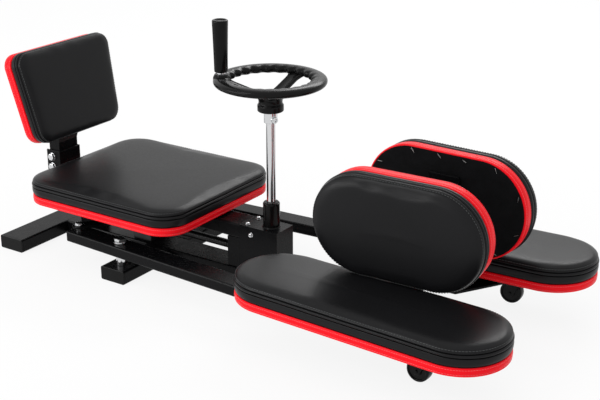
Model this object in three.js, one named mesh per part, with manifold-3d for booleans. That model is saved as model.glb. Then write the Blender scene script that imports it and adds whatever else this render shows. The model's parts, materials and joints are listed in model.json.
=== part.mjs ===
// Leg stretching machine: a padded seat on a floor frame, two hinged leg arms with pads, and a
// handwheel that spreads them through a bevel pair, a leadscrew and two links.
// Millimetres, +Z up, +X towards the legs. The origin is under the middle of the rear foot.
import * as THREE from "three";
import { ConvexGeometry } from "three/addons/geometries/ConvexGeometry.js";
import { mergeVertices } from "three/addons/utils/BufferGeometryUtils.js";
import Module from "manifold-3d";

const wasm = await Module();
wasm.setup();

// Driving dimensions.
const footWidth = 59;
const floorTubeHeight = 27;
const rearFootLength = 320;
const middleFootLength = 328;
const middleFootX = 271;
const beamWidth = 60;
const beamFront = 552.8;
const tubeWall = 2;
const tubeCorner = 3;
const upperTubeWidth = 53;
const upperTubeHeight = 28;
const upperTubeLift = 87;
const seatPostRear = 64;
const seatPostDepth = 34;
const bearingPostRear = 440;
const bearingPostDepth = 28;
const housingWall = 5;
const screwHeight = 57;
const screwRadius = 8;
const journalRadius = 6;
const shaftX = 523;
const shaftRadius = 8.4;
const wheelHeight = 393;
const wheelRadius = 101.6;
const armWidth = 42.6;
const armHeight = 21.7;
const armLift = 49.6;
const armRear = 123.8;
const armFront = 745;
const pivotSpread = 136.85;
const linkBoltReach = 110.2;
const linkSpan = 119.8;
const legPadHalfLength = 253.5;
const legPadHalfWidth = 82;
const legPadMiddle = 558.65;
const legPadOffset = 0;
const sidePadHalfLength = 156.5;
const sidePadHalfHeight = 89.5;
const sidePadMiddle = 565;
const sidePadHeight = 211;
const sidePadBack = 106.3;
const seatHalfDepth = 184.4;
const seatHalfWidth = 166.8;
const seatMiddle = 233.5;
const seatPlateThickness = 3;
const backHalfHeight = 90.3;
const backHalfWidth = 119.7;
const backHeight = 297.6;
const bracketSetback = 28.1;
const backSetback = 19.8;
const casterReach = 668;
const overrun = 2;
const restGap = 0.3;
const boreClearance = 0.4;

// Angles, in degrees, and counts.
const armSplay = 3.3;
const linkAngle = 57;
const backTilt = 13;
const legPadToe = -0.55;
const sidePadToe = -5.42;
const sidePadLean = 1.5;
const roundSteps = 24;
const smallSteps = 12;
const hexagonSteps = 6;
const cornerSteps = 5;
const endSteps = 3;

const armTop = armLift + armHeight;
const upperTubeTop = upperTubeLift + upperTubeHeight;
const seatPostFront = seatPostRear + seatPostDepth;
const housingRear = bearingPostRear + bearingPostDepth;
const seatBoardLift = upperTubeTop + seatPlateThickness;
// The backrest's bracket stands behind the seat, and the backrest's rear face behind its front.
const channelFront = seatMiddle - seatHalfDepth - bracketSetback;
const backRear = channelFront - backSetback;
const radians = THREE.MathUtils.degToRad;

// Materials.
function material(color, roughness, metalness) {
  return new THREE.MeshStandardMaterial({ color, roughness, metalness });
}
const blackSteel = material(0x17181a, 0.45, 0.5);
const chrome = material(0xd9dcdf, 0.15, 1);
const brightSteel = material(0xa8abae, 0.35, 1);
const blackVinyl = material(0x1b1b1d, 0.5, 0);
const redVinyl = material(0xd2101f, 0.45, 0);
const blackPlastic = material(0x111112, 0.4, 0);

const machine = new THREE.Group();

function piece(group, name, geometry, look) {
  const mesh = new THREE.Mesh(geometry, look);
  mesh.name = name;
  group.add(mesh);
  return mesh;
}

// Joining and cutting.
const weld = 1e-4;

function solidOf(geometry) {
  const plain = geometry.index ? geometry.toNonIndexed() : geometry.clone();
  plain.deleteAttribute("normal");
  plain.deleteAttribute("uv");
  const merged = mergeVertices(plain, weld);
  const corners = [];
  for (let i = 0; i < merged.index.count; i += 3) {
    const [a, b, c] = merged.index.array.slice(i, i + 3);
    if (a !== b && b !== c && c !== a) corners.push(a, b, c);
  }
  const mesh = new wasm.Mesh({
    numProp: 3,
    vertProperties: merged.attributes.position.array,
    triVerts: new Uint32Array(corners),
  });
  return new wasm.Manifold(mesh);
}

function geometryOf(solid) {
  const mesh = solid.getMesh();
  const geometry = new THREE.BufferGeometry();
  geometry.setAttribute("position", new THREE.BufferAttribute(mesh.vertProperties, mesh.numProp));
  geometry.setIndex(new THREE.BufferAttribute(mesh.triVerts, 1));
  const flat = geometry.toNonIndexed();
  flat.computeVertexNormals();
  return flat;
}

function join(...geometries) {
  return geometryOf(geometries.map(solidOf).reduce((whole, next) => whole.add(next)));
}

function cut(geometry, ...tools) {
  return geometryOf(tools.map(solidOf).reduce((whole, tool) => whole.subtract(tool), solidOf(geometry)));
}

// Basic forms.
function block(x0, x1, y0, y1, z0, z1) {
  const geometry = new THREE.BoxGeometry(x1 - x0, y1 - y0, z1 - z0);
  return geometry.translate((x0 + x1) / 2, (y0 + y1) / 2, (z0 + z1) / 2);
}

function rod(radius, z0, z1, steps = roundSteps) {
  const geometry = new THREE.CylinderGeometry(radius, radius, z1 - z0, steps);
  return geometry.rotateX(Math.PI / 2).translate(0, 0, (z0 + z1) / 2);
}

function rodX(radius, x0, x1, steps = roundSteps) {
  return rod(radius, x0, x1, steps).rotateY(Math.PI / 2);
}

function rodY(radius, y0, y1, steps = roundSteps) {
  return rod(radius, -y1, -y0, steps).rotateX(Math.PI / 2);
}

// A turned form about Z from pairs of radius and height, listed upwards along the outside.
function turned(profile, steps = roundSteps) {
  const points = profile.map(([radius, height]) => new THREE.Vector2(radius, height));
  return new THREE.LatheGeometry(points, steps).rotateX(Math.PI / 2);
}

function roundedRect(path, width, height, corner) {
  const x = width / 2 - corner;
  const y = height / 2 - corner;
  path.moveTo(x + corner, -y);
  path.absarc(x, y, corner, 0, Math.PI / 2);
  path.absarc(-x, y, corner, Math.PI / 2, Math.PI);
  path.absarc(-x, -y, corner, Math.PI, Math.PI * 1.5);
  path.absarc(x, -y, corner, Math.PI * 1.5, Math.PI * 2);
  return path;
}

function extruded(shape, depth, curveSegments = 1) {
  return new THREE.ExtrudeGeometry(shape, { depth, bevelEnabled: false, curveSegments });
}

// A rectangular tube along Z, its width along Y and its height along X.
function uprightTube(height, width, wall, length) {
  const shape = roundedRect(new THREE.Shape(), height, width, tubeCorner);
  shape.holes.push(roundedRect(new THREE.Path(), height - 2 * wall, width - 2 * wall, tubeCorner - wall));
  return extruded(shape, length);
}

// The same tube laid along X from the origin, centred on the X axis.
function layTube(height, width, wall, length) {
  return uprightTube(height, width, wall, length).rotateY(Math.PI / 2);
}

// A flat plate from an outline in plan.
function plate(points, z0, z1) {
  const shape = new THREE.Shape(points.map(([x, y]) => new THREE.Vector2(x, y)));
  return extruded(shape, z1 - z0).translate(0, 0, z0);
}

// A form from a side profile of X and Z pairs, centred on the XZ plane.
function sideForm(points, width) {
  const shape = new THREE.Shape(points.map(([x, z]) => new THREE.Vector2(x, z)));
  return extruded(shape, width).rotateX(Math.PI / 2).translate(0, width / 2, 0);
}

// Hexagon bolts: a head on a washer, and a shank below the seat at height zero.
function bolt(headWidth, headHeight, washerRadius, washerThickness, shankRadius, shankLength) {
  const head = rod(headWidth / Math.sqrt(3), washerThickness / 2, washerThickness + headHeight, hexagonSteps);
  const washer = rod(washerRadius, 0, washerThickness);
  return join(head, washer, rod(shankRadius, -shankLength, washerThickness));
}

// Closed surfaces through rings of points with one number of points each.
function lofted(rings, bottom, top) {
  const count = rings[0].length;
  const corners = [];
  const triangle = (a, b, c) => corners.push(...a, ...b, ...c);
  rings.forEach((ring, level) => {
    const next = rings[level + 1];
    for (let i = 0; i < count; i++) {
      const j = (i + 1) % count;
      if (level === 0) triangle(bottom, ring[j], ring[i]);
      if (!next) triangle(top, ring[i], ring[j]);
      if (!next) continue;
      triangle(ring[i], ring[j], next[j]);
      triangle(ring[i], next[j], next[i]);
    }
  });
  const geometry = new THREE.BufferGeometry();
  geometry.setAttribute("position", new THREE.Float32BufferAttribute(corners, 3));
  return geometryOf(solidOf(geometry));
}

// Pads: a rounded outline drawn in by an inset at each height. A taper narrows it towards +X.
const leastCornerShare = 0.3;

function padRing(pad, inset, height) {
  const corner = Math.max(pad.corner - inset, leastCornerShare * pad.corner * (pad.corner < pad.halfWidth));
  const x = pad.halfLength - inset - corner;
  const y = Math.max(pad.halfWidth - inset - corner, 0);
  const narrowing = (along) => 1 - ((pad.taperShare ?? 0) * along) / pad.halfLength;
  const ring = [];
  for (let quarter = 0; quarter < 4; quarter++) {
    const alongX = quarter === 0 || quarter === 3 ? x : -x;
    const alongY = quarter < 2 ? y : -y;
    for (let step = 0; step <= cornerSteps; step++) {
      const angle = (Math.PI / 2) * (quarter + step / cornerSteps);
      const along = alongX + corner * Math.cos(angle);
      ring.push([along, (alongY + corner * Math.sin(angle)) * narrowing(along), height]);
    }
  }
  return ring;
}

// Shares of the edge rounding and of the board's thickness.
const boardShares = [
  [1, 0],
  [0, 0.14],
  [0, 0.86],
  [1, 1],
];
const boardEdge = 1.6;

function padBoard(pad) {
  const rings = boardShares.map(([edge, rise]) => padRing(pad, edge * boardEdge, rise * pad.board));
  return lofted(rings, [0, 0, 0], [0, 0, pad.board]);
}

// Shares of the bulge and the side's height, then of the crown's reach and its height.
const sideShares = [
  [-1.6, 0],
  [0.6, 0.14],
  [1, 0.5],
  [0.5, 0.84],
  [-1.8, 1],
];
const crownShares = [
  [0.012, 0.14],
  [0.032, 0.4],
  [0.075, 0.64],
  [0.15, 0.82],
  [0.32, 0.94],
  [0.64, 0.985],
  [1, 1],
];
const sideBulge = 1;

function padCushion(pad) {
  const side = sideShares.map(([bulge, rise]) => padRing(pad, -bulge * sideBulge, rise * pad.side));
  const crown = crownShares.map(([reach, rise]) =>
    padRing(pad, reach * pad.crownReach, pad.side + rise * pad.crown),
  );
  return lofted([...side, ...crown], [0, 0, 0], [0, 0, pad.side + pad.crown]);
}

// Floor frame.
const plugPlate = 3;
const plugDepth = 14;
const endPlate = 3;

function tubePlug(height, width, wall) {
  const inner = wall + restGap;
  const cap = extruded(roundedRect(new THREE.Shape(), height, width, tubeCorner), plugPlate);
  const stub = block(
    inner - height / 2,
    height / 2 - inner,
    inner - width / 2,
    width / 2 - inner,
    -plugDepth,
    plugPlate / 2,
  );
  return join(cap, stub).rotateY(Math.PI / 2);
}

function rearFoot() {
  const tubeLength = rearFootLength - 2 * plugPlate;
  const tube = layTube(floorTubeHeight, footWidth, tubeWall, tubeLength).translate(-tubeLength / 2, 0, 0);
  const foot = piece(machine, "rear_foot", tube, blackSteel);
  foot.rotation.z = Math.PI / 2;
  foot.position.z = floorTubeHeight / 2;
  const plug = tubePlug(floorTubeHeight, footWidth, tubeWall);
  for (const [side, sign] of [["right", -1], ["left", 1]]) {
    const end = piece(machine, `rear_foot_plug_${side}`, plug, blackPlastic);
    end.rotation.z = (sign * Math.PI) / 2;
    end.position.set(0, (sign * tubeLength) / 2, floorTubeHeight / 2);
  }
}

function mainBeam() {
  const rear = footWidth / 2;
  const length = beamFront - rear;
  const tube = layTube(floorTubeHeight, beamWidth, tubeWall, length).translate(rear, 0, floorTubeHeight / 2);
  const end = block(
    beamFront - endPlate,
    beamFront,
    tubeCorner - beamWidth / 2,
    beamWidth / 2 - tubeCorner,
    tubeWall / 2,
    floorTubeHeight - tubeWall / 2,
  );
  piece(machine, "main_beam", join(tube, end), blackSteel);
}

// Pivots: a spacer tube on each middle foot, and a bolt down through the arm and the spacer.
const pivotRadius = 6;
const spacerRadius = 9.5;
const pivotWasherRadius = 12.5;
const pivotWasher = 2;
const pivotHeadWidth = 19;
const pivotHeadHeight = 7.6;
const pivotBoltEnd = 12;

function middleFoot(half, side) {
  const start = beamWidth / 2;
  const length = middleFootLength / 2 - plugPlate - start;
  const tube = layTube(floorTubeHeight, footWidth - tubeWall, tubeWall, length)
    .rotateZ(Math.PI / 2)
    .translate(middleFootX, start, floorTubeHeight / 2);
  const hole = rod(pivotRadius + boreClearance, floorTubeHeight / 2, floorTubeHeight + overrun);
  piece(half, `middle_foot_${side}`, cut(tube, hole.translate(middleFootX, pivotSpread, 0)), blackSteel);
  const plug = tubePlug(floorTubeHeight, footWidth - tubeWall, tubeWall);
  const end = piece(half, `middle_foot_plug_${side}`, plug, blackPlastic);
  end.rotation.z = Math.PI / 2;
  end.position.set(middleFootX, start + length, floorTubeHeight / 2);
}

function pivot(half, side) {
  const spacer = cut(
    rod(spacerRadius, floorTubeHeight, armLift - restGap),
    rod(pivotRadius + boreClearance, 0, armLift + overrun),
  );
  piece(half, `pivot_spacer_${side}`, spacer, chrome).position.set(middleFootX, pivotSpread, 0);
  const seat = armTop + restGap;
  const shank = seat - pivotBoltEnd;
  const screw = bolt(pivotHeadWidth, pivotHeadHeight, pivotWasherRadius, pivotWasher, pivotRadius, shank);
  piece(half, `pivot_bolt_${side}`, screw, chrome).position.set(middleFootX, pivotSpread, seat);
}

// Posts, upper tube and gear housing.
function seatPost() {
  const tube = uprightTube(seatPostDepth, upperTubeWidth, tubeWall, upperTubeLift - floorTubeHeight);
  tube.translate(seatPostRear + seatPostDepth / 2, 0, floorTubeHeight);
  const bore = rodX(journalRadius + boreClearance, seatPostRear - overrun, seatPostFront + overrun);
  piece(machine, "seat_post", cut(tube, bore.translate(0, 0, screwHeight)), blackSteel);
}

function bearingPost() {
  const post = block(
    bearingPostRear,
    housingRear,
    -upperTubeWidth / 2,
    upperTubeWidth / 2,
    floorTubeHeight,
    upperTubeLift,
  );
  const bore = rodX(journalRadius + boreClearance, bearingPostRear - overrun, housingRear + overrun);
  piece(machine, "bearing_post", cut(post, bore.translate(0, 0, screwHeight)), blackSteel);
}

// Housing bolts: places from the housing's rear face and middle, and from its top for the side bolt.
const topBoltSetback = 13;
const topBoltSpread = 17.5;
const sideBoltSetback = 26.7;
const sideBoltDrop = 15;
const smallBoltRadius = 2.5;
const smallBoltHead = 7;
const smallBoltHeadHeight = 3.4;
const smallBoltWasher = 4.6;
const smallBoltWasherThickness = 0.8;
const smallBoltLength = 8;
const shaftBore = shaftRadius + boreClearance;

function smallBolt() {
  return bolt(
    smallBoltHead,
    smallBoltHeadHeight,
    smallBoltWasher,
    smallBoltWasherThickness,
    smallBoltRadius,
    smallBoltLength,
  );
}

function gearHousing() {
  const halfWidth = upperTubeWidth / 2;
  const shell = block(housingRear, beamFront, -halfWidth, halfWidth, floorTubeHeight, upperTubeTop);
  const hollow = block(
    housingRear + housingWall,
    beamFront - housingWall,
    housingWall - halfWidth,
    halfWidth - housingWall,
    floorTubeHeight + housingWall,
    upperTubeTop - housingWall,
  );
  const shaftHole = rod(shaftBore, screwHeight, upperTubeTop + overrun).translate(shaftX, 0, 0);
  const screwHole = rodX(journalRadius + boreClearance, housingRear - overrun, shaftX);
  screwHole.translate(0, 0, screwHeight);
  const boltHole = smallBoltRadius + restGap;
  const topHoles = [-1, 1].map((sign) =>
    rod(boltHole, upperTubeTop - smallBoltLength - overrun, upperTubeTop + overrun).translate(
      housingRear + topBoltSetback,
      sign * topBoltSpread,
      0,
    ),
  );
  const sideHole = rodY(boltHole, -halfWidth - overrun, -halfWidth + smallBoltLength + overrun).translate(
    housingRear + sideBoltSetback,
    0,
    upperTubeTop - sideBoltDrop,
  );
  const housing = cut(shell, hollow, shaftHole, screwHole, ...topHoles, sideHole);
  piece(machine, "gear_housing", housing, blackSteel);
  for (const [side, sign] of [["right", -1], ["left", 1]]) {
    const top = piece(machine, `housing_bolt_${side}`, smallBolt(), chrome);
    top.position.set(housingRear + topBoltSetback, sign * topBoltSpread, upperTubeTop);
  }
  const sideBolt = piece(machine, "housing_side_bolt", smallBolt(), chrome);
  sideBolt.rotation.x = Math.PI / 2;
  sideBolt.position.set(housingRear + sideBoltSetback, -halfWidth, upperTubeTop - sideBoltDrop);
}

const sleeveRadius = 15.65;
const sleeveHeight = 49;
const sleeveEdge = 1.5;

function shaftSleeve() {
  const top = upperTubeTop + sleeveHeight;
  const sleeve = turned([
    [shaftBore, upperTubeTop],
    [sleeveRadius, upperTubeTop],
    [sleeveRadius, top - sleeveEdge],
    [sleeveRadius - sleeveEdge, top],
    [shaftBore, top],
    [shaftBore, upperTubeTop],
  ]);
  piece(machine, "shaft_sleeve", sleeve, blackPlastic).position.x = shaftX;
}

// Seat.
const seatPlateHalfLength = 135;
const seatPlateHalfWidth = 85;
const seatPlateCorner = 12;
const seatPad = {
  halfLength: seatHalfDepth,
  halfWidth: seatHalfWidth,
  corner: 53,
  board: 15.9,
  side: 23.8,
  crown: 9,
  crownReach: 110,
};

function seat() {
  const outline = new THREE.Shape();
  roundedRect(outline, 2 * seatPlateHalfLength, 2 * seatPlateHalfWidth, seatPlateCorner);
  const sheet = extruded(outline, seatPlateThickness, endSteps);
  piece(machine, "seat_plate", sheet, blackSteel).position.set(seatMiddle, 0, upperTubeTop);
  piece(machine, "seat_board", padBoard(seatPad), redVinyl).position.set(seatMiddle, 0, seatBoardLift);
  const cushion = piece(machine, "seat_cushion", padCushion(seatPad), blackVinyl);
  cushion.position.set(seatMiddle, 0, seatBoardLift + seatPad.board);
}

// Backrest: two nested channels bolted together behind the seat, and the pad on the upper one.
const channelSheet = 3;
const channelDepth = 36;
const lowerChannelTop = 174.5;
const upperChannelFoot = 125;
const upperChannelTop = 290;
const upperChannelDepth = 27;
const channelBend = 192;
const channelBendTop = 205;
const channelBoltSetback = 20.5;
const channelBoltHeights = [161, 140];
const channelBoltRadius = 4;
const channelBoltHead = 13;
const channelBoltHeadHeight = 5.3;
const channelWasherRadius = 8;
const channelWasher = 1.5;
const channelBoltX = channelFront - channelBoltSetback;
const backPad = {
  halfLength: backHalfHeight,
  halfWidth: backHalfWidth,
  corner: 27,
  board: 18.1,
  side: 20.7,
  crown: 7.7,
  crownReach: 66,
  taperShare: 0.068,
};

function channelHoles(width) {
  return channelBoltHeights.map((height) =>
    rodY(channelBoltRadius + restGap, -width, width).translate(channelBoltX, 0, height),
  );
}

function lowerChannel() {
  const half = upperTubeWidth / 2 + channelSheet;
  const rear = channelFront - channelDepth;
  const outside = block(rear, channelFront, -half, half, upperTubeLift, lowerChannelTop);
  const inside = block(
    rear - overrun,
    channelFront - channelSheet,
    channelSheet - half,
    half - channelSheet,
    upperTubeLift - overrun,
    lowerChannelTop + overrun,
  );
  piece(machine, "back_lower_bracket", cut(outside, inside, ...channelHoles(half + overrun)), blackSteel);
}

function upperChannel() {
  const width = upperTubeWidth - 2 * restGap;
  const front = channelFront - channelSheet - restGap;
  const slope = Math.tan(radians(backTilt));
  // The board's rear plane, drawn back by the gap, at a height.
  const planeX = (height) => backRear - (height - backHeight) * slope - restGap / Math.cos(radians(backTilt));
  const line = [
    [front, upperChannelFoot],
    [front, channelBend],
    [planeX(channelBendTop), channelBendTop],
    [planeX(upperChannelTop), upperChannelTop],
  ];
  const longLine = [
    [front, upperChannelFoot - overrun],
    ...line.slice(1, 3),
    [planeX(upperChannelTop + overrun), upperChannelTop + overrun],
  ];
  const moved = (points, back) => points.map(([x, z]) => [x - back, z]);
  const outline = [...line, ...moved(line, upperChannelDepth).reverse()];
  const hollow = [
    ...moved(longLine, channelSheet),
    ...moved(longLine, upperChannelDepth + overrun).reverse(),
  ];
  const space = sideForm(hollow, width - 2 * channelSheet);
  const channel = cut(sideForm(outline, width), space, ...channelHoles(width));
  piece(machine, "back_upper_bracket", channel, blackSteel);
}

function channelBolts() {
  const half = upperTubeWidth / 2 + channelSheet;
  const names = ["bracket_bolt_upper", "bracket_bolt_lower"];
  channelBoltHeights.forEach((height, index) => {
    const screw = bolt(
      channelBoltHead,
      channelBoltHeadHeight,
      channelWasherRadius,
      channelWasher,
      channelBoltRadius,
      2 * half + channelBoltHeadHeight,
    );
    const far = -2 * half;
    const nut = rod(channelBoltHead / Math.sqrt(3), far - channelBoltHeadHeight, far, hexagonSteps);
    const mesh = piece(machine, names[index], join(screw, nut), chrome);
    mesh.rotation.x = Math.PI / 2;
    mesh.position.set(channelBoltX, -half, height);
  });
}

function backrest() {
  const pad = new THREE.Group();
  pad.position.set(backRear, 0, backHeight);
  pad.rotation.y = radians(90 - backTilt);
  machine.add(pad);
  piece(pad, "back_board", padBoard(backPad), redVinyl);
  piece(pad, "back_cushion", padCushion(backPad), blackVinyl).position.z = backPad.board + restGap;
}

function upperTube() {
  const length = housingRear - channelFront;
  const tube = layTube(upperTubeHeight, upperTubeWidth, tubeWall, length);
  const middle = upperTubeLift + upperTubeHeight / 2;
  piece(machine, "upper_tube", tube, blackSteel).position.set(channelFront, 0, middle);
}

// Bevel pair: mitre gears whose pitch cones meet where the shaft crosses the screw.
const gearPitchRadius = 18;
const gearAddendum = 1.9;
const gearDedendum = 2.7;
const gearFace = 5.7;
const gearHubRadius = 12;
const gearHubLength = 10;
const gearTeeth = 12;
const toothPitchShare = 0.36;
const toothRootShare = 0.5;
const toothTipShare = 0.2;
const gearBack = gearPitchRadius + gearDedendum * Math.SQRT1_2 + gearHubLength;

function bevelGear(bore) {
  const inner = gearPitchRadius - gearFace;
  const scaleIn = inner / gearPitchRadius;
  const slant = Math.SQRT1_2;
  const rootRadius = gearPitchRadius - gearDedendum * slant;
  const rootHeight = gearPitchRadius + gearDedendum * slant;
  const tipRadius = gearPitchRadius + gearAddendum * slant;
  const tipHeight = gearPitchRadius - gearAddendum * slant;
  const cone = turned([
    [0, rootHeight * scaleIn],
    [rootRadius * scaleIn, rootHeight * scaleIn],
    [rootRadius, rootHeight],
    [gearHubRadius, rootHeight],
    [gearHubRadius, gearBack],
    [0, gearBack],
  ]);
  const pitchAngle = (2 * Math.PI) / gearTeeth;
  const teeth = [];
  for (let i = 0; i < gearTeeth; i++) {
    const points = [];
    for (const scale of [scaleIn, 1])
      for (const [radius, height, share] of [
        [rootRadius - gearAddendum * slant, rootHeight, toothRootShare],
        [tipRadius, tipHeight, toothTipShare],
      ])
        for (const sign of [-1, 1]) {
          const angle = pitchAngle * (i + (sign * share) / 2);
          const point = new THREE.Vector3(radius * Math.cos(angle), radius * Math.sin(angle), height);
          points.push(point.multiplyScalar(scale));
        }
    teeth.push(new ConvexGeometry(points));
  }
  return cut(join(cone, ...teeth), rod(bore, 0, gearBack + overrun));
}

// Handwheel shaft with the pinion, the collar and the wheel.
const shaftTop = 370;
const pinionShaftRadius = 6;
const shoulderGap = 1.1;
const shoulderHeight = screwHeight + gearBack + shoulderGap;
const collarRadius = 12.5;
const collarBottom = 316;
const collarScrewRadius = 6.2;
const collarScrewReach = 4;
const collarScrewHeight = 323;
const collarScrewAngle = -25;
const hubBottom = 337.5;
const hubRadius = 23.8;
const hubSkirt = 12.5;
const hubNeckRadius = 21.5;
const hubTopRadius = 25;
const hubTop = 372;
const rimHalfWidth = 14;
const rimHalfHeight = 7.5;
const gripWave = 1.8;
const gripWaves = 24;
const rimSteps = 96;
const rimSectionSteps = 8;
const spokeWidth = 22;
const spokeThickness = 6;
const spokeAngle = -152;
const spokes = 3;
const bossRadius = 12;
const bossHeight = 4;
const handleReach = 87;
const handleAngle = -148;
const bossTop = wheelHeight + rimHalfHeight + bossHeight;
const pinRadius = 5;
const pinSink = 3;
const pinFoot = wheelHeight - pinSink;

function driveShaft() {
  const pinionEnd = screwHeight + gearPitchRadius - gearFace;
  const shaft = turned([
    [0, pinionEnd],
    [pinionShaftRadius, pinionEnd],
    [pinionShaftRadius, shoulderHeight],
    [shaftRadius, shoulderHeight],
    [shaftRadius, shaftTop],
    [0, shaftTop],
  ]);
  piece(machine, "drive_shaft", shaft, chrome).position.x = shaftX;
  const pinion = piece(machine, "bevel_pinion", bevelGear(pinionShaftRadius + restGap), brightSteel);
  pinion.position.set(shaftX, 0, screwHeight);
  pinion.rotation.z = Math.PI;
  const collar = rod(collarRadius, collarBottom, hubBottom - restGap);
  const screwEnd = collarRadius + collarScrewReach;
  const screw = rodX(collarScrewRadius, shaftRadius + boreClearance, screwEnd, smallSteps)
    .rotateZ(radians(collarScrewAngle))
    .translate(0, 0, collarScrewHeight);
  const bore = rod(shaftRadius + restGap, collarBottom - overrun, hubBottom + overrun);
  piece(machine, "shaft_collar", cut(join(collar, screw), bore), chrome).position.x = shaftX;
}

function wheelRim() {
  const rings = [];
  const middle = wheelRadius - rimHalfWidth;
  for (let i = 0; i < rimSteps; i++) {
    const turn = (2 * Math.PI * i) / rimSteps;
    const wave = gripWave * Math.cos(gripWaves * turn);
    const ring = [];
    for (let j = 0; j < rimSectionSteps; j++) {
      const around = (2 * Math.PI * (j + 0.5)) / rimSectionSteps;
      const inward = Math.min(Math.cos(around), 0);
      const widen = 1 / Math.cos(Math.PI / rimSectionSteps);
      const radius = middle + rimHalfWidth * widen * Math.cos(around) - wave * inward;
      ring.push([radius * Math.cos(turn), radius * Math.sin(turn), rimHalfHeight * widen * Math.sin(around)]);
    }
    rings.push(ring);
  }
  const corners = [];
  rings.forEach((ring, i) => {
    const next = rings[(i + 1) % rimSteps];
    ring.forEach((point, j) => {
      const k = (j + 1) % rimSectionSteps;
      corners.push(...point, ...next[k], ...ring[k], ...point, ...next[j], ...next[k]);
    });
  });
  const geometry = new THREE.BufferGeometry();
  geometry.setAttribute("position", new THREE.Float32BufferAttribute(corners, 3));
  return geometry.translate(0, 0, wheelHeight);
}

// A spoke dished from the hub up to the rim, before it is turned to its place.
function wheelSpoke() {
  const ends = [
    [hubNeckRadius / 2, hubTop - 2 * spokeThickness],
    [wheelRadius - rimHalfWidth, wheelHeight - spokeThickness / 2],
  ];
  const points = ends.flatMap(([x, z]) =>
    [0, spokeThickness].flatMap((rise) =>
      [-1, 1].map((sign) => new THREE.Vector3(x, (sign * spokeWidth) / 2, z + rise)),
    ),
  );
  return new ConvexGeometry(points);
}

function handwheel() {
  const hub = turned([
    [0, hubBottom],
    [hubRadius, hubBottom],
    [hubRadius, hubBottom + hubSkirt],
    [hubNeckRadius, hubBottom + hubSkirt],
    [hubTopRadius, hubTop],
    [0, hubTop],
  ]);
  const arms = [];
  for (let i = 0; i < spokes; i++) {
    const turn = radians(spokeAngle) + (2 * Math.PI * i) / spokes;
    arms.push(wheelSpoke().rotateZ(turn));
  }
  const boss = rod(bossRadius, wheelHeight, bossTop);
  const turn = radians(handleAngle);
  boss.translate(handleReach * Math.cos(turn), handleReach * Math.sin(turn), 0);
  const bore = rod(shaftRadius + restGap, hubBottom - overrun, hubTop + overrun);
  const pinHole = rod(pinRadius + restGap, pinFoot, bossTop + overrun);
  pinHole.translate(handleReach * Math.cos(turn), handleReach * Math.sin(turn), 0);
  const wheel = cut(join(wheelRim(), hub, ...arms, boss), bore, pinHole);
  piece(machine, "handwheel", wheel, blackPlastic).position.x = shaftX;
}

// Handle: a pin standing in the rim's boss, and a tapered grip that turns on it.
const pinCollarRadius = 8;
const pinCollarHeight = 3.4;
const gripBottom = bossTop + pinCollarHeight + restGap;
const gripTop = 501.5;
const gripLowRadius = 12;
const gripTopRadius = 14.3;
const gripEdge = 2.4;
const gripRoof = 14;

function handle() {
  const turn = radians(handleAngle);
  const x = shaftX + handleReach * Math.cos(turn);
  const y = handleReach * Math.sin(turn);
  const pin = turned([
    [0, pinFoot + restGap],
    [pinRadius, pinFoot + restGap],
    [pinRadius, bossTop],
    [pinCollarRadius, bossTop],
    [pinCollarRadius, bossTop + pinCollarHeight],
    [pinRadius, bossTop + pinCollarHeight],
    [pinRadius, gripTop - gripRoof - boreClearance],
    [0, gripTop - gripRoof - boreClearance],
  ]);
  piece(machine, "handle_pin", pin, chrome).position.set(x, y, 0);
  const grip = turned([
    [0, gripBottom],
    [gripLowRadius - gripEdge, gripBottom],
    [gripLowRadius, gripBottom + gripEdge],
    [gripTopRadius, gripTop - gripEdge],
    [gripTopRadius - gripEdge, gripTop],
    [0, gripTop],
  ]);
  const bore = rod(pinRadius + boreClearance, gripBottom - overrun, gripTop - gripRoof);
  piece(machine, "handle_grip", cut(grip, bore), blackPlastic).position.set(x, y, 0);
}

// Leadscrew and the nut that rides on it.
const nutRestX = 225.2;
const nutHalfLength = 22;
const nutHalfWidth = 22;
const nutFloorGap = 0.5;
const nutPlateHalfLength = 17;
const nutPlateHalfWidth = 54;
const nutPlateGap = 0.5;
const nutPlateThickness = 3.2;
const slotY = 30;
const slotHalfWidth = 5.6;
const slotHalfLength = 18.4;
const studRadius = 4;

function leadscrew() {
  const threadRear = seatPostFront + boreClearance;
  const threadFront = bearingPostRear - boreClearance;
  const screw = turned([
    [0, seatPostRear + tubeWall],
    [journalRadius, seatPostRear + tubeWall],
    [journalRadius, threadRear],
    [screwRadius, threadRear],
    [screwRadius, threadFront],
    [journalRadius, threadFront],
    [journalRadius, shaftX - gearPitchRadius + gearFace],
    [0, shaftX - gearPitchRadius + gearFace],
  ]).rotateY(Math.PI / 2);
  piece(machine, "leadscrew", screw, brightSteel).position.z = screwHeight;
  const gear = piece(machine, "bevel_gear", bevelGear(journalRadius + restGap), brightSteel);
  gear.position.set(shaftX, 0, screwHeight);
  gear.rotation.set(Math.PI / gearTeeth, -Math.PI / 2, 0, "XYZ");
}

function driveNut() {
  const plateBottom = armTop + nutPlateGap;
  const body = block(
    -nutHalfLength,
    nutHalfLength,
    -nutHalfWidth,
    nutHalfWidth,
    floorTubeHeight + nutFloorGap,
    plateBottom + nutPlateThickness / 2,
  );
  const cross = block(
    -nutPlateHalfLength,
    nutPlateHalfLength,
    -nutPlateHalfWidth,
    nutPlateHalfWidth,
    plateBottom,
    plateBottom + nutPlateThickness,
  );
  const outline = new THREE.Shape();
  roundedRect(outline, 2 * slotHalfWidth, 2 * slotHalfLength, slotHalfWidth);
  const slots = [-1, 1].map((sign) =>
    extruded(outline, armHeight, endSteps).translate(0, sign * slotY, plateBottom),
  );
  const bore = rodX(screwRadius + boreClearance, -nutHalfLength - overrun, nutHalfLength + overrun);
  const nut = cut(join(body, cross), ...slots, bore.translate(0, 0, screwHeight));
  piece(machine, "drive_nut", nut, brightSteel).position.x = nutRestX;
}

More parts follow.
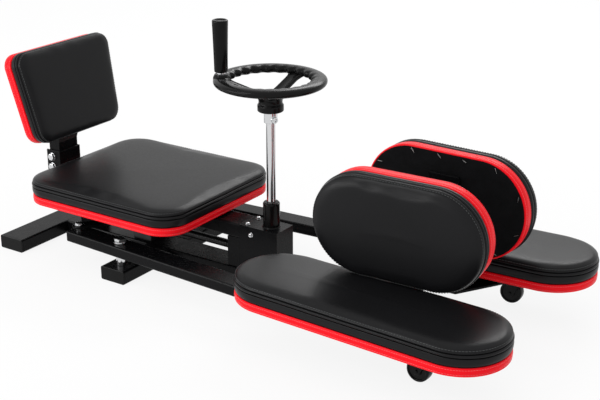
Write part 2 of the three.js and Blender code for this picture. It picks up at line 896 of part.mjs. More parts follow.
// Links: a flat bar over each arm, bolted to it, with a stud down into the nut's slot.
const linkWidth = 26;
const linkThickness = 5;
const linkLift = 75.5;
const studHead = 2.4;
const studHeadRadius = 6.4;
const linkBoltRadius = 4;
const linkBoltSpacerRadius = 7;
const linkBoltHead = 13;
const linkBoltHeadHeight = 3.6;
const linkBoltWasherRadius = 9.5;
const linkBoltWasher = 1.3;

function linkBar() {
  const bar = extruded(
    roundedRect(new THREE.Shape(), linkSpan + linkWidth, linkWidth, linkWidth / 2),
    linkThickness,
    endSteps,
  ).translate(linkSpan / 2, 0, linkLift);
  const hole = rod(linkBoltRadius + boreClearance, linkLift - overrun, linkLift + linkThickness + overrun);
  const studTop = linkLift + linkThickness + studHead;
  const stud = rod(studRadius, armTop + 2 * nutPlateGap + restGap, studTop, smallSteps);
  const head = rod(studHeadRadius, linkLift + linkThickness - restGap, studTop, smallSteps);
  return join(cut(bar, hole), stud.translate(linkSpan, 0, 0), head.translate(linkSpan, 0, 0));
}

// The link's bolt: a spacer shoulder on the arm, a shank through the link, a washer and a head.
function linkBolt() {
  const screw = bolt(
    linkBoltHead,
    linkBoltHeadHeight,
    linkBoltWasherRadius,
    linkBoltWasher,
    linkBoltRadius,
    linkThickness + linkLift - armTop + tubeWall + restGap,
  ).translate(0, 0, linkLift + linkThickness + restGap);
  return join(screw, rod(linkBoltSpacerRadius, armTop, linkLift - restGap));
}

function link(half, side) {
  const splay = radians(armSplay);
  const x = middleFootX - linkBoltReach * Math.cos(splay);
  const y = pivotSpread - linkBoltReach * Math.sin(splay);
  const bar = piece(half, `link_${side}`, linkBar(), blackSteel);
  bar.position.set(x, y, 0);
  bar.rotation.z = -radians(linkAngle);
  piece(half, `link_bolt_${side}`, linkBolt(), chrome).position.set(x, y, 0);
}

// Arm with its leg pad, side pad and caster, laid along X from the pivot, outward to +Y.
const legPad = {
  halfLength: legPadHalfLength,
  halfWidth: legPadHalfWidth,
  corner: legPadHalfWidth,
  board: 15.3,
  side: 23.6,
  crown: 9.6,
  crownReach: 74,
};
const sidePad = {
  halfLength: sidePadHalfLength,
  halfWidth: sidePadHalfHeight,
  corner: sidePadHalfHeight,
  board: 21.9,
  side: 18.4,
  crown: 13.4,
  crownReach: 80,
};

function armTube() {
  const tube = layTube(armHeight, armWidth, tubeWall, armRear + armFront);
  tube.translate(-armRear, 0, armLift + armHeight / 2);
  const cap = block(
    -armRear,
    endPlate - armRear,
    tubeCorner - armWidth / 2,
    armWidth / 2 - tubeCorner,
    armLift + tubeWall / 2,
    armTop - tubeWall / 2,
  );
  const pivotHole = rod(pivotRadius + boreClearance, armLift - overrun, armTop + overrun);
  const linkHole = rod(linkBoltRadius + restGap, armTop - 2 * tubeWall, armTop + overrun);
  return cut(join(tube, cap), pivotHole, linkHole.translate(-linkBoltReach, 0, 0));
}

// Side bracket: a foot plate welded to the arm's inner side, and a strap up behind the side pad.
const footPlateRear = 32;
const footPlateNose = 38;
const footPlateFront = 109;
const footPlateEdge = 7.5;
const footPlateThickness = 5;
const strapWidth = 60;
const strapThickness = 5;
const strapTop = 262;
const strapSole = 24;

function sideBracket() {
  const inner = armWidth / 2 + restGap;
  const back = sidePadBack + restGap + strapThickness;
  const turn = radians(sidePadToe);
  const lean = Math.tan(radians(sidePadLean));
  const sole = armLift + footPlateThickness - restGap;
  const soleTop = sole + strapThickness;
  // The strap's inward face, outward from the arm's middle line, at a height.
  const faceAt = (height) => lean * (height - sidePadHeight) - back;
  const reach = faceAt(sole) - footPlateEdge;
  const foot = plate(
    [
      [sidePadMiddle - footPlateRear, -inner],
      [sidePadMiddle - footPlateRear, reach],
      [sidePadMiddle + footPlateNose, reach],
      [sidePadMiddle + footPlateFront, -inner],
    ],
    armLift,
    armLift + footPlateThickness,
  );
  // The strap from the side, in outward and height pairs.
  const face = [
    [faceAt(sole), sole],
    [faceAt(sole) + strapSole, sole],
    [faceAt(sole) + strapSole, soleTop],
    [faceAt(soleTop) + strapThickness, soleTop],
    [faceAt(strapTop) + strapThickness, strapTop],
    [faceAt(strapTop), strapTop],
  ];
  // It turns with the pad about the middle of the pad's back.
  const strap = sideForm(face, strapWidth).rotateZ(Math.PI / 2);
  strap.translate(0, sidePadBack, 0).rotateZ(turn).translate(sidePadMiddle, -sidePadBack, 0);
  return join(foot, strap);
}

// Caster: a zinc plate under the arm, a swivel fork and a wheel.
const casterPlateLength = 46;
const casterPlateWidth = 34;
const casterPlate = 2.4;
const casterGap = 0.5;
const casterWheelRadius = 20.8;
const casterWheelWidth = 18;
const casterTrail = 6;
const forkRadius = 14.5;
const forkCrown = 4;
const forkSheet = 2.5;
const axleRadius = 3;
const wheelEdge = 3;
const studPinRadius = 4;
const cheekToe = 5.4;
const cheekFront = 11.6;
const cheekRear = 13;
const cheekHeel = 7.2;
const cheekHeelHeight = 31.2;
const bridgeHalfLength = 8.7;

function casterFork() {
  const top = armLift - casterPlate - casterGap;
  const crownDisc = rod(forkRadius, top - forkCrown, top);
  const cheekInner = casterWheelWidth / 2 + casterGap;
  const wheelTop = 2 * casterWheelRadius;
  const cheeks = [-1, 1].map((sign) => {
    const cheek = plate(
      [
        [-casterTrail - cheekToe, casterWheelRadius - cheekToe],
        [-casterTrail + cheekToe, casterWheelRadius - cheekToe],
        [cheekFront, wheelTop],
        [cheekFront, top - forkCrown / 2],
        [-cheekRear, top - forkCrown / 2],
        [-casterTrail - cheekHeel, cheekHeelHeight],
      ],
      0,
      forkSheet,
    ).rotateX(Math.PI / 2);
    return cheek.translate(0, sign > 0 ? cheekInner + forkSheet : -cheekInner, 0);
  });
  const bridge = block(
    -bridgeHalfLength,
    bridgeHalfLength,
    -cheekInner,
    cheekInner,
    top - forkCrown,
    top - forkCrown / 2,
  );
  const axleEnd = cheekInner + forkSheet + overrun;
  const axle = rodY(axleRadius, -axleEnd, axleEnd, smallSteps);
  const pin = rod(studPinRadius, top - forkCrown, armLift + tubeWall, smallSteps);
  return join(crownDisc, bridge, ...cheeks, axle.translate(-casterTrail, 0, casterWheelRadius), pin);
}

function casterWheel() {
  const half = casterWheelWidth / 2;
  const bore = axleRadius + boreClearance;
  return turned([
    [bore, -half],
    [casterWheelRadius - wheelEdge, -half],
    [casterWheelRadius, -half + wheelEdge],
    [casterWheelRadius, half - wheelEdge],
    [casterWheelRadius - wheelEdge, half],
    [bore, half],
    [bore, -half],
  ]).rotateX(Math.PI / 2);
}

function arm(half, side) {
  const whole = new THREE.Group();
  whole.position.set(middleFootX, pivotSpread, 0);
  whole.rotation.z = radians(armSplay);
  half.add(whole);
  const studHole = rod(studPinRadius + boreClearance, armLift - overrun, armLift + 2 * tubeWall);
  studHole.translate(casterReach, 0, 0);
  piece(whole, `arm_tube_${side}`, cut(armTube(), studHole), blackSteel);
  piece(whole, `side_bracket_${side}`, sideBracket(), blackSteel);

  const legGroup = new THREE.Group();
  legGroup.position.set(legPadMiddle, legPadOffset, armTop);
  legGroup.rotation.z = radians(legPadToe);
  whole.add(legGroup);
  piece(legGroup, `leg_board_${side}`, padBoard(legPad), redVinyl);
  piece(legGroup, `leg_cushion_${side}`, padCushion(legPad), blackVinyl).position.z = legPad.board;

  const sideGroup = new THREE.Group();
  sideGroup.position.set(sidePadMiddle, -sidePadBack, sidePadHeight);
  sideGroup.rotation.set(-Math.PI / 2 - radians(sidePadLean), 0, radians(sidePadToe), "ZYX");
  whole.add(sideGroup);
  piece(sideGroup, `side_board_${side}`, padBoard(sidePad), redVinyl);
  const sideCushion = piece(sideGroup, `side_cushion_${side}`, padCushion(sidePad), blackVinyl);
  sideCushion.position.z = sidePad.board + restGap;

  const plateHole = rod(studPinRadius + boreClearance, armLift - casterPlate - overrun, armLift + overrun);
  const plateBlock = block(
    -casterPlateLength / 2,
    casterPlateLength / 2,
    -casterPlateWidth / 2,
    casterPlateWidth / 2,
    armLift - casterPlate,
    armLift,
  );
  piece(whole, `caster_plate_${side}`, cut(plateBlock, plateHole), brightSteel).position.x = casterReach;
  piece(whole, `caster_fork_${side}`, casterFork(), blackPlastic).position.x = casterReach;
  const wheel = piece(whole, `caster_wheel_${side}`, casterWheel(), blackPlastic);
  wheel.position.set(casterReach - casterTrail, 0, casterWheelRadius);
}

rearFoot();
mainBeam();
seatPost();
bearingPost();
gearHousing();
shaftSleeve();
upperTube();
seat();
lowerChannel();
upperChannel();
channelBolts();
backrest();
driveShaft();
handwheel();
handle();
leadscrew();
driveNut();
for (const [side, sign] of [["right", -1], ["left", 1]]) {
  const half = new THREE.Group();
  half.scale.y = sign;
  machine.add(half);
  middleFoot(half, side);
  pivot(half, side);
  link(half, side);
  arm(half, side);
}

export default machine;
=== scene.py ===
"""Looks of the leg stretching machine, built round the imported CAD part. Its lengths are in millimetres."""
import json
import math
import random

import bmesh
import bpy
from mathutils import Matrix, Vector, kdtree, noise


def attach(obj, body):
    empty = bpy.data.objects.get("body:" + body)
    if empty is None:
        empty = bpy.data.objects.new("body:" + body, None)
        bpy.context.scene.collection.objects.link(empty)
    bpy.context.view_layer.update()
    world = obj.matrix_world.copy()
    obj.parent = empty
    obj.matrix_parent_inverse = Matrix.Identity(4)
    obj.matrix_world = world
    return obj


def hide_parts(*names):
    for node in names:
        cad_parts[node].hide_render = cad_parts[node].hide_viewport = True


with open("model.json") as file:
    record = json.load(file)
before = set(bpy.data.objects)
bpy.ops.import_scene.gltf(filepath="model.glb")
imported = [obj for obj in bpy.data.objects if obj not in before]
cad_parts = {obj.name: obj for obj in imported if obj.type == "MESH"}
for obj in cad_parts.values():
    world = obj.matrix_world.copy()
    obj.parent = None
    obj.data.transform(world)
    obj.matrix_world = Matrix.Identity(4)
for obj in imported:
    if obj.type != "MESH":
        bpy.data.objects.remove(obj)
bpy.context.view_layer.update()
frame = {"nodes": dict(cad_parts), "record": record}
NODES = frame["nodes"]
BODIES = frame["record"]["behaviour"]["bodies"]
BODY_OF = {node: body for body, members in BODIES.items() for node in members}
MM = 0.001
FULL = 2 * math.pi


# Places

SIDES = (("right", -1), ("left", 1))
PIVOT_X, PIVOT_Y = 271, 136.85
ARM_SPLAY = 3.3
ARM_TOP = 71.3
HOUSING_TOP = 115
SHAFT_X = 523
SCREW_HEIGHT = 57


def place(x, y, z):
    return Matrix.Translation((x, y, z))


def turn(axis, degrees):
    return Matrix.Rotation(math.radians(degrees), 4, axis)


def half(sign):
    """The machine's left half, or with -1 its mirror image, the right half."""
    return Matrix.Diagonal((1, sign, 1, 1))


def arm(sign):
    """An arm's own frame, on the floor under its pivot, with X along the arm."""
    return half(sign) @ place(PIVOT_X, PIVOT_Y, 0) @ turn("Z", ARM_SPLAY)


SHAFT = place(SHAFT_X, 0, 0)


# Mesh making

JOINED_POINTS = 1e-6
LEAST_RADIUS = 1e-3
COARSE_STEPS, MIDDLE_STEPS, FINE_STEPS = 48, 64, 96
TURNED_CREASE = 30
WASHER_EDGE = 0.25


def mesh_object(name, parts, materials, crease=32):
    """parts: (points, faces, matrix, material index) in millimetres, made into one object at the origin."""
    points, faces, marks = [], [], []
    for part_points, part_faces, matrix, mark in parts:
        start = len(points)
        points += [(matrix @ Vector(p)) * MM for p in part_points]
        faces += [[start + i for i in face] for face in part_faces]
        marks += [mark] * len(part_faces)
    data = bpy.data.meshes.new(name)
    data.from_pydata(points, [], faces)
    data.polygons.foreach_set("material_index", marks)
    work = bmesh.new()
    work.from_mesh(data)
    bmesh.ops.remove_doubles(work, verts=work.verts, dist=JOINED_POINTS)
    bmesh.ops.recalc_face_normals(work, faces=work.faces)
    work.to_mesh(data)
    work.free()
    data.shade_smooth()
    data.set_sharp_from_angle(angle=math.radians(crease))
    for material in materials:
        data.materials.append(material)
    piece = bpy.data.objects.new(name, data)
    bpy.context.scene.collection.objects.link(piece)
    return piece


def finish_piece(piece, node):
    """The piece stands for this CAD node and rides on its body."""
    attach(piece, BODY_OF[node])
    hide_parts(node)


def ring_faces(count, rings, closed=False):
    """Quads between rings of count points, either capped at both ends or closed on themselves."""
    faces = []
    levels = rings if closed else rings - 1
    for level in range(levels):
        above = (level + 1) % rings
        for i in range(count):
            j = (i + 1) % count
            faces.append([level * count + i, level * count + j, above * count + j, above * count + i])
    if not closed:
        faces.append(list(range(count))[::-1])
        faces.append([(rings - 1) * count + i for i in range(count)])
    return faces


def lofted(rings):
    """A capped form from rings with the same number of points."""
    return [p for ring in rings for p in ring], ring_faces(len(rings[0]), len(rings))


def round_points(profile, steps):
    """Rings of points round Z, one for each (radius, height) pair."""
    ring = [(math.cos(FULL * i / steps), math.sin(FULL * i / steps)) for i in range(steps)]
    return [(radius * x, radius * y, height) for radius, height in profile for x, y in ring]


def turned(profile, steps=MIDDLE_STEPS):
    """A turned form from (radius, height) pairs listed upwards along the outside."""
    profile = [(max(radius, LEAST_RADIUS), height) for radius, height in profile]
    return round_points(profile, steps), ring_faces(steps, len(profile))


def pipe(profile, steps=MIDDLE_STEPS):
    """A turned form with a bore: its profile closes on itself."""
    return round_points(profile, steps), ring_faces(steps, len(profile), closed=True)


def smooth_line(controls, steps):
    """A smooth line through control pairs, with tangents that suit uneven spacing."""
    out = []
    last = len(controls) - 1
    for i in range(last):
        a, b = Vector(controls[i]), Vector(controls[i + 1])
        before = Vector(controls[max(i - 1, 0)])
        after = Vector(controls[min(i + 2, last)])
        span = (b - a).length
        leave = (b - before) * (span / ((b - a).length + (a - before).length))
        arrive = (after - a) * (span / ((after - b).length + (b - a).length))
        for step in range(steps):
            t = step / steps
            out.append(
                a * (2 * t**3 - 3 * t**2 + 1) + leave * (t**3 - 2 * t**2 + t)
                + b * (3 * t**2 - 2 * t**3) + arrive * (t**3 - t**2)
            )
    out.append(Vector(controls[last]))
    return [tuple(p) for p in out]


def hexagon(width, low, high, chamfer):
    """A hexagon head, its top corners cut by a cone."""
    corner = width / math.sqrt(3) + 0.02
    levels = (
        (low, 0.0),
        (high - chamfer, 0.0),
        (high - chamfer / 2, chamfer * 0.7),
        (high, chamfer * 1.9),
        (high + 0.05, chamfer * 3.2),
    )
    points = []
    for height, cut in levels:
        for i in range(COARSE_STEPS):
            angle = FULL * i / COARSE_STEPS
            away = abs((angle % (FULL / 6)) - FULL / 12)
            radius = min(width / 2 / math.cos(away), corner - cut)
            points.append((radius * math.cos(angle), radius * math.sin(angle), height))
    return points, ring_faces(COARSE_STEPS, len(levels))


def plate_profile(inner, outer, low, high, edge):
    """The section of a flat ring or disc with chamfered outer edges."""
    return [
        (inner, low), (outer - edge, low), (outer, low + edge),
        (outer, high - edge), (outer - edge, high), (inner, high),
    ]


def washer(radius, bore, low, high):
    return pipe(plate_profile(bore, radius, low, high, WASHER_EDGE), COARSE_STEPS)


# Materials

NOISE_SPAN = (0.3, 0.7)
# A Mix node's colour sockets. Its sockets for other kinds of value have the same names.
MIX_FIRST, MIX_SECOND, MIX_RESULT = 6, 7, 2


def shader(name):
    """A new material with its nodes, its links and its Principled shader."""
    material = bpy.data.materials.new(name)
    material.use_nodes = True
    tree = material.node_tree
    return material, tree.nodes, tree.links, tree.nodes["Principled BSDF"]


def coordinates(nodes):
    return nodes.new("ShaderNodeTexCoord").outputs["Object"]


def noise_node(nodes, links, scale, detail, roughness=0.5):
    node = nodes.new("ShaderNodeTexNoise")
    node.inputs["Scale"].default_value = scale
    node.inputs["Detail"].default_value = detail
    node.inputs["Roughness"].default_value = roughness
    links.new(coordinates(nodes), node.inputs["Vector"])
    return node.outputs["Fac"]


def cells_node(nodes, links, scale):
    node = nodes.new("ShaderNodeTexVoronoi")
    node.inputs["Scale"].default_value = scale
    links.new(coordinates(nodes), node.inputs["Vector"])
    return node.outputs["Distance"]


def spread(nodes, links, source, span, target):
    """A value from one span, mapped to another."""
    node = nodes.new("ShaderNodeMapRange")
    node.inputs["From Min"].default_value, node.inputs["From Max"].default_value = span
    node.inputs["To Min"].default_value, node.inputs["To Max"].default_value = target
    links.new(source, node.inputs["Value"])
    return node.outputs["Result"]


def blend(nodes, links, factor, first, second):
    """A colour between two, by a factor."""
    node = nodes.new("ShaderNodeMix")
    node.data_type = "RGBA"
    links.new(factor, node.inputs["Factor"])
    node.inputs[MIX_FIRST].default_value = (*first, 1)
    node.inputs[MIX_SECOND].default_value = (*second, 1)
    return node.outputs[MIX_RESULT]


def coat(nodes, links, bsdf, mottle, colours, grain, roughness, span=NOISE_SPAN):
    """Mottled colour and uneven gloss, each led by a noise."""
    links.new(blend(nodes, links, mottle, *colours), bsdf.inputs["Base Color"])
    links.new(spread(nodes, links, grain, span, roughness), bsdf.inputs["Roughness"])


def bump(nodes, links, bsdf, layers):
    """Heights, each with a distance in millimetres and a strength, stacked onto the shader's normal."""
    normal = None
    for height, distance, strength in layers:
        node = nodes.new("ShaderNodeBump")
        node.inputs["Distance"].default_value = distance * MM
        node.inputs["Strength"].default_value = strength
        links.new(height, node.inputs["Height"])
        if normal:
            links.new(normal, node.inputs["Normal"])
        normal = node.outputs["Normal"]
    links.new(normal, bsdf.inputs["Normal"])


def vinyl(name, dark, light, roughness, level=0.15):
    """Grained upholstery vinyl: fine pebbles, soft unevenness and a little variation of gloss."""
    material, nodes, links, bsdf = shader(name)
    broad = noise_node(nodes, links, 9, 2)
    soft = noise_node(nodes, links, 55, 2)
    fine = noise_node(nodes, links, 420, 4)
    pebbles = cells_node(nodes, links, 900)
    coat(nodes, links, bsdf, broad, (dark, light), fine, (roughness - 0.04, roughness + 0.05))
    bump(nodes, links, bsdf, [(soft, 0.8, 0.12), (pebbles, 0.12, 0.22), (fine, 0.1, 0.15)])
    bsdf.inputs["Specular IOR Level"].default_value = level
    return material


def coated_steel(name, dark, light, roughness):
    """Powder coat: orange peel, slight mottling and uneven gloss."""
    material, nodes, links, bsdf = shader(name)
    broad = noise_node(nodes, links, 14, 3)
    rub = noise_node(nodes, links, 60, 4, 0.7)
    peel = noise_node(nodes, links, 700, 2)
    gloss = (roughness - 0.05, roughness + 0.08)
    coat(nodes, links, bsdf, broad, (dark, light), rub, gloss, (0.3, 0.75))
    bump(nodes, links, bsdf, [(peel, 0.15, 0.25)])
    bsdf.inputs["Specular IOR Level"].default_value = 0.08
    return material


def metal(name, dark, light, roughness, scratch=0.06):
    """Bare or plated metal: faint polishing marks and clouding."""
    material, nodes, links, bsdf = shader(name)
    cloud = noise_node(nodes, links, 40, 3)
    marks = noise_node(nodes, links, 900, 3, 0.6)
    coat(nodes, links, bsdf, cloud, (dark, light), marks, (roughness, roughness + scratch))
    bump(nodes, links, bsdf, [(marks, 0.03, 0.1)])
    bsdf.inputs["Metallic"].default_value = 1.0
    return material


def moulded(name, dark, light, roughness, texture):
    """Moulded plastic: a fine spark texture and slight flow marks."""
    material, nodes, links, bsdf = shader(name)
    spark = noise_node(nodes, links, 1100, 2)
    flow = noise_node(nodes, links, 25, 2)
    coat(nodes, links, bsdf, flow, (dark, light), flow, (roughness - 0.03, roughness + 0.05))
    bump(nodes, links, bsdf, [(spark, 0.08, texture), (flow, 0.6, 0.05)])
    bsdf.inputs["Specular IOR Level"].default_value = 0.12
    return material


def felt(name, dark, light):
    """Dust cloth on the pads' backs: felted fibres, dull and crumpled."""
    material, nodes, links, bsdf = shader(name)
    fibre = noise_node(nodes, links, 800, 5, 0.7)
    crumple = noise_node(nodes, links, 45, 4, 0.6)
    coat(nodes, links, bsdf, crumple, (dark, light), fibre, (0.75, 0.9))
    bump(nodes, links, bsdf, [(crumple, 2.5, 0.5), (fibre, 0.3, 0.5)])
    bsdf.inputs["Specular IOR Level"].default_value = 0.06
    return material


BLACK_VINYL = vinyl("black_vinyl_look", (0.005, 0.005, 0.0055), (0.009, 0.009, 0.01), 0.34)
RED_VINYL = vinyl("red_vinyl_look", (0.93, 0.003, 0.010), (0.97, 0.006, 0.016), 0.36, 0.12)
# Near black and dull: painted shade, for the cords laid in the cushions' seams where the grooves are in
# shadow.
SEAM_SHADE = vinyl("seam_shade_look", (0.001, 0.001, 0.001), (0.002, 0.002, 0.002), 0.9, 0.02)
# Black thread painted grey: a painted highlight, so that the cushion stitches show as light dashes.
THREAD_WITH_HIGHLIGHT = vinyl("black_thread_highlight_look", (0.06, 0.065, 0.065), (0.11, 0.115, 0.115), 0.5)
# Pale pinkish red thread: a painted highlight, so that the red band's two sewn lines show as light lines.
RED_THREAD_HIGHLIGHT = vinyl("red_thread_highlight_look", (0.95, 0.12, 0.14), (0.97, 0.2, 0.22), 0.5, 0.1)
BACK_CLOTH = felt("back_cloth_look", (0.002, 0.002, 0.002), (0.009, 0.009, 0.01))
BLACK_STEEL = coated_steel("black_steel_look", (0.0025, 0.0025, 0.003), (0.005, 0.005, 0.0055), 0.27)
CHROME = metal("chrome_look", (0.59, 0.6, 0.61), (0.69, 0.69, 0.7), 0.07)
DARK_STEEL = metal("dark_steel_look", (0.02, 0.02, 0.021), (0.05, 0.05, 0.05), 0.3, 0.12)
BRIGHT_STEEL = metal("bright_steel_look", (0.5, 0.5, 0.49), (0.66, 0.65, 0.63), 0.26, 0.14)
BLACK_PLASTIC = moulded("black_plastic_look", (0.0025, 0.0025, 0.0025), (0.005, 0.005, 0.005), 0.15, 0.1)
WHEEL_PLASTIC = moulded("wheel_plastic_look", (0.003, 0.003, 0.003), (0.007, 0.007, 0.007), 0.22, 0.35)


def chrome_piece(node, parts):
    """A turned chrome piece in the place of the CAD node of the same name."""
    piece = mesh_object(node + "_turned", parts, [CHROME], TURNED_CREASE)
    finish_piece(piece, node)


# Pads

# Half the length and width, the outline's corner radius, the share by which the end towards +X is
# narrower than the middle, the heights of the red band, the gap over it and the black side, the rise
# of the crown over its reach from the edge, and the seeds of the cloth's and the cover's unevenness.
PADS = {
    "seat": dict(
        long=184.4, wide=166.8, corner=53, taper=0,
        board=15.9, gap=0, side=23.8, crown=9.0, reach=110, seeds=(3, 1.0),
    ),
    "back": dict(
        long=90.3, wide=119.7, corner=27, taper=0.068,
        board=18.1, gap=0.3, side=20.7, crown=7.7, reach=66, seeds=(5, 4.0),
    ),
    "leg": dict(
        long=253.5, wide=82, corner=82, taper=0,
        board=15.3, gap=0, side=23.6, crown=9.6, reach=74, seeds=(7, 7.0),
    ),
    "side": dict(
        long=156.5, wide=89.5, corner=89.5, taper=0,
        board=21.9, gap=0.3, side=18.4, crown=13.4, reach=80, seeds=(11, 9.0),
    ),
}
SEAT_X, SEAT_HEIGHT = 233.5, 118
BACK_X, BACK_HEIGHT, BACK_TILT = 1.2, 297.6, 13
LEG_X, LEG_TOE = 558.65, -0.55
SIDE_X, SIDE_Y, SIDE_HEIGHT, SIDE_TOE, SIDE_LEAN = 565, -106.3, 211, -5.42, 1.5
# No staple stands this near the middle of a board's back, where steel carries it.
BACK_CLEAR, LEG_CLEAR, SIDE_CLEAR = 36, 32, 44

ARC_STEPS, STRAIGHT_PITCH = 18, 7.0
COARSE_ARC_STEPS, COARSE_PITCH = 8, 12
LEAST_CORNER_SHARE, LEAST_CORNER, LEAST_SPAN = 0.3, 0.4, 0.2
LOW_SHARES = (0.1, 0.4, 0.75)
HIGH_SHARES = (0.85, 0.68, 0.5, 0.3, 0.12)


def pad_ring(pad, inset, height, arc_steps=ARC_STEPS, pitch=STRAIGHT_PITCH):
    """A ring round the pad at an inset from its outline. Its rings all have the same number of points."""
    least = LEAST_CORNER_SHARE * pad["corner"] if pad["corner"] < pad["wide"] else LEAST_CORNER
    corner = max(pad["corner"] - inset, least)
    x = max(pad["long"] - inset - corner, LEAST_SPAN)
    y = max(pad["wide"] - inset - corner, 0.0)
    centres = ((x, y), (-x, y), (-x, -y), (x, -y))
    straights = [max(1, round(2 * (pad[way] - pad["corner"]) / pitch)) for way in ("long", "wide")]

    def corner_point(quarter, angle):
        centre_x, centre_y = centres[quarter % 4]
        return centre_x + corner * math.cos(angle), centre_y + corner * math.sin(angle), height

    ring = []
    for quarter in range(4):
        for step in range(arc_steps + 1):
            ring.append(corner_point(quarter, math.pi / 2 * (quarter + step / arc_steps)))
        start = ring[-1]
        end = corner_point(quarter + 1, math.pi / 2 * (quarter + 1))
        pieces = straights[quarter % 2]
        for step in range(1, pieces):
            share = step / pieces
            ring.append(tuple(a + (b - a) * share for a, b in zip(start, end)))
    taper = pad["taper"] / pad["long"]
    return [(x, y * (1 - taper * x), z) for x, y, z in ring]


def close_rings(rings, low_height, high_height, shares=HIGH_SHARES):
    """Adds rings that shrink to the middle at both ends, so that the flat faces have points too."""

    def shrink(ring, share, height):
        return [(x * share, y * share, height + (z - height) * share) for x, y, z in ring]

    low = [shrink(rings[0], share, low_height) for share in LOW_SHARES]
    high = [shrink(rings[-1], share, high_height) for share in shares]
    return low + rings + high


# Cushions: their profile

# The cover has a strip between two seams, which ends a little under the crown's foot.
STRIP = 6.5
LINE_DROP = 1.6
CROWN_FOOT_REACH, CROWN_FOOT_RISE = 0.028, 0.42
TOP_LIFT = 0.4


def seam_heights(pad):
    high_line = pad["side"] - LINE_DROP
    return high_line - STRIP, high_line


def cushion_profile(pad):
    """(inset, height) pairs from the foot of the side, over the strip, to the crown's inner edge."""
    side, crown, reach = pad["side"], pad["crown"], pad["reach"]
    low_line, high_line = seam_heights(pad)
    band = [
        (3.6, 0.0), (2.6, 0.5), (0.9, 1.7), (0.0, 3.4),
        (-0.6, 0.26 * side), (-0.8, 0.42 * side), (-0.5, low_line - 1.4),
    ]
    strip = [
        (0.2, low_line - 0.7), (1.9, low_line), (0.1, low_line + 0.9), (-0.8, low_line + 2.0),
        (-1.1, low_line + STRIP / 2), (-0.7, high_line - 1.8), (0.4, high_line - 0.9), (2.8, high_line),
        (0.8, high_line + 1.1),
    ]
    top = [
        (0.9, side + 0.14 * crown),
        (CROWN_FOOT_REACH * reach, side + CROWN_FOOT_RISE * crown),
        (0.07 * reach, side + 0.64 * crown),
        (0.15 * reach, side + 0.82 * crown),
        (0.32 * reach, side + 0.94 * crown),
        (0.64 * reach, side + 0.985 * crown),
        (reach, side + crown),
    ]
    return smooth_line(band + strip + top, steps=3)


def plain_cushion(pad):
    """The coarse closed body that the cloth simulation starts from, a little inside the finished cover."""
    side, crown, reach = pad["side"], pad["crown"], pad["reach"]
    top = side + 0.94 * crown
    controls = [
        (2.6, 0.0), (1.0, 1.2), (0.4, 0.5 * side), (0.8, 0.9 * side), (1.6, side + 0.14 * crown),
        (0.05 * reach, side + 0.42 * crown), (0.15 * reach, side + 0.76 * crown),
        (0.32 * reach, side + 0.88 * crown), (0.64 * reach, side + 0.93 * crown), (reach, top),
    ]
    rings = [pad_ring(pad, inset, height, COARSE_ARC_STEPS, COARSE_PITCH) for inset, height in controls]
    return lofted(close_rings(rings, 0.0, top))


# Cushions: their cloth simulation

VOXEL = 5.5
CLOTH_FRAMES = 20
CLOTH_QUALITY = 6
CLOTH_MASS = 0.3
CLOTH_STRETCH, CLOTH_SHEAR, CLOTH_BEND = 18, 8, 0.6
CLOTH_SLACK = 0.02
PRESSURE = 4.0
FOOT_HEIGHT = 2.0
SEAM_WIDTH, SEAM_HOLD = 2.2, 0.6

NEAR_COUNT = 48
NEAR_DISTANCE = 14
LEAST_WEIGHT = 1e-6
SIDEWAYS_SHARE = 0.5
SWELL_LIMIT = 1.5
FOOT_EASE, SEAM_EASE, LEAST_EASE = 6.0, 9.0, 0.25
SEAM_EASE_BELOW = 3


def hold(piece, points, pad):
    """Pins the cover at its foot, and partly along the upper seam."""
    held = piece.vertex_groups.new(name="held")
    high_line = seam_heights(pad)[1]
    for i, point in enumerate(points):
        if point.z < FOOT_HEIGHT * MM:
            held.add([i], 1.0, "REPLACE")
        elif abs(point.z - high_line * MM) < SEAM_WIDTH * MM:
            held.add([i], SEAM_HOLD, "REPLACE")
    return held.name


def add_cloth(piece, held):
    cloth = piece.modifiers.new("cover", "CLOTH")
    settings = cloth.settings
    settings.quality = CLOTH_QUALITY
    settings.mass = CLOTH_MASS
    settings.tension_stiffness = CLOTH_STRETCH
    settings.compression_stiffness = CLOTH_STRETCH
    settings.shear_stiffness = CLOTH_SHEAR
    settings.bending_stiffness = CLOTH_BEND
    settings.use_pressure = True
    settings.uniform_pressure_force = PRESSURE
    settings.shrink_min = -CLOTH_SLACK
    settings.vertex_group_mass = held
    settings.effector_weights.gravity = 0
    cloth.collision_settings.use_collision = False
    cloth.point_cache.frame_start = 1
    cloth.point_cache.frame_end = CLOTH_FRAMES


def swell(name, pad):
    """Blows the cover up with a cloth simulation and returns how each point of it moved."""
    points, faces = plain_cushion(pad)
    cover = mesh_object(name, [(points, faces, Matrix.Identity(4), 0)], [BLACK_VINYL])
    remesh = cover.modifiers.new("even", "REMESH")
    remesh.mode = "VOXEL"
    remesh.voxel_size = VOXEL * MM
    graph = bpy.context.evaluated_depsgraph_get()
    data = bpy.data.meshes.new_from_object(cover.evaluated_get(graph))
    cover.modifiers.clear()
    cover.data = data
    start = [v.co.copy() for v in data.vertices]
    add_cloth(cover, hold(cover, start, pad))
    scene = bpy.context.scene
    for step in range(1, CLOTH_FRAMES + 1):
        scene.frame_set(step)
    graph = bpy.context.evaluated_depsgraph_get()
    final = cover.evaluated_get(graph).to_mesh()
    moves = [(v.co - start[i]) / MM for i, v in enumerate(final.vertices)]
    tree = kdtree.KDTree(len(start))
    for i, point in enumerate(start):
        tree.insert(point / MM, i)
    tree.balance()
    bpy.data.objects.remove(cover)
    scene.frame_set(1)
    return tree, moves


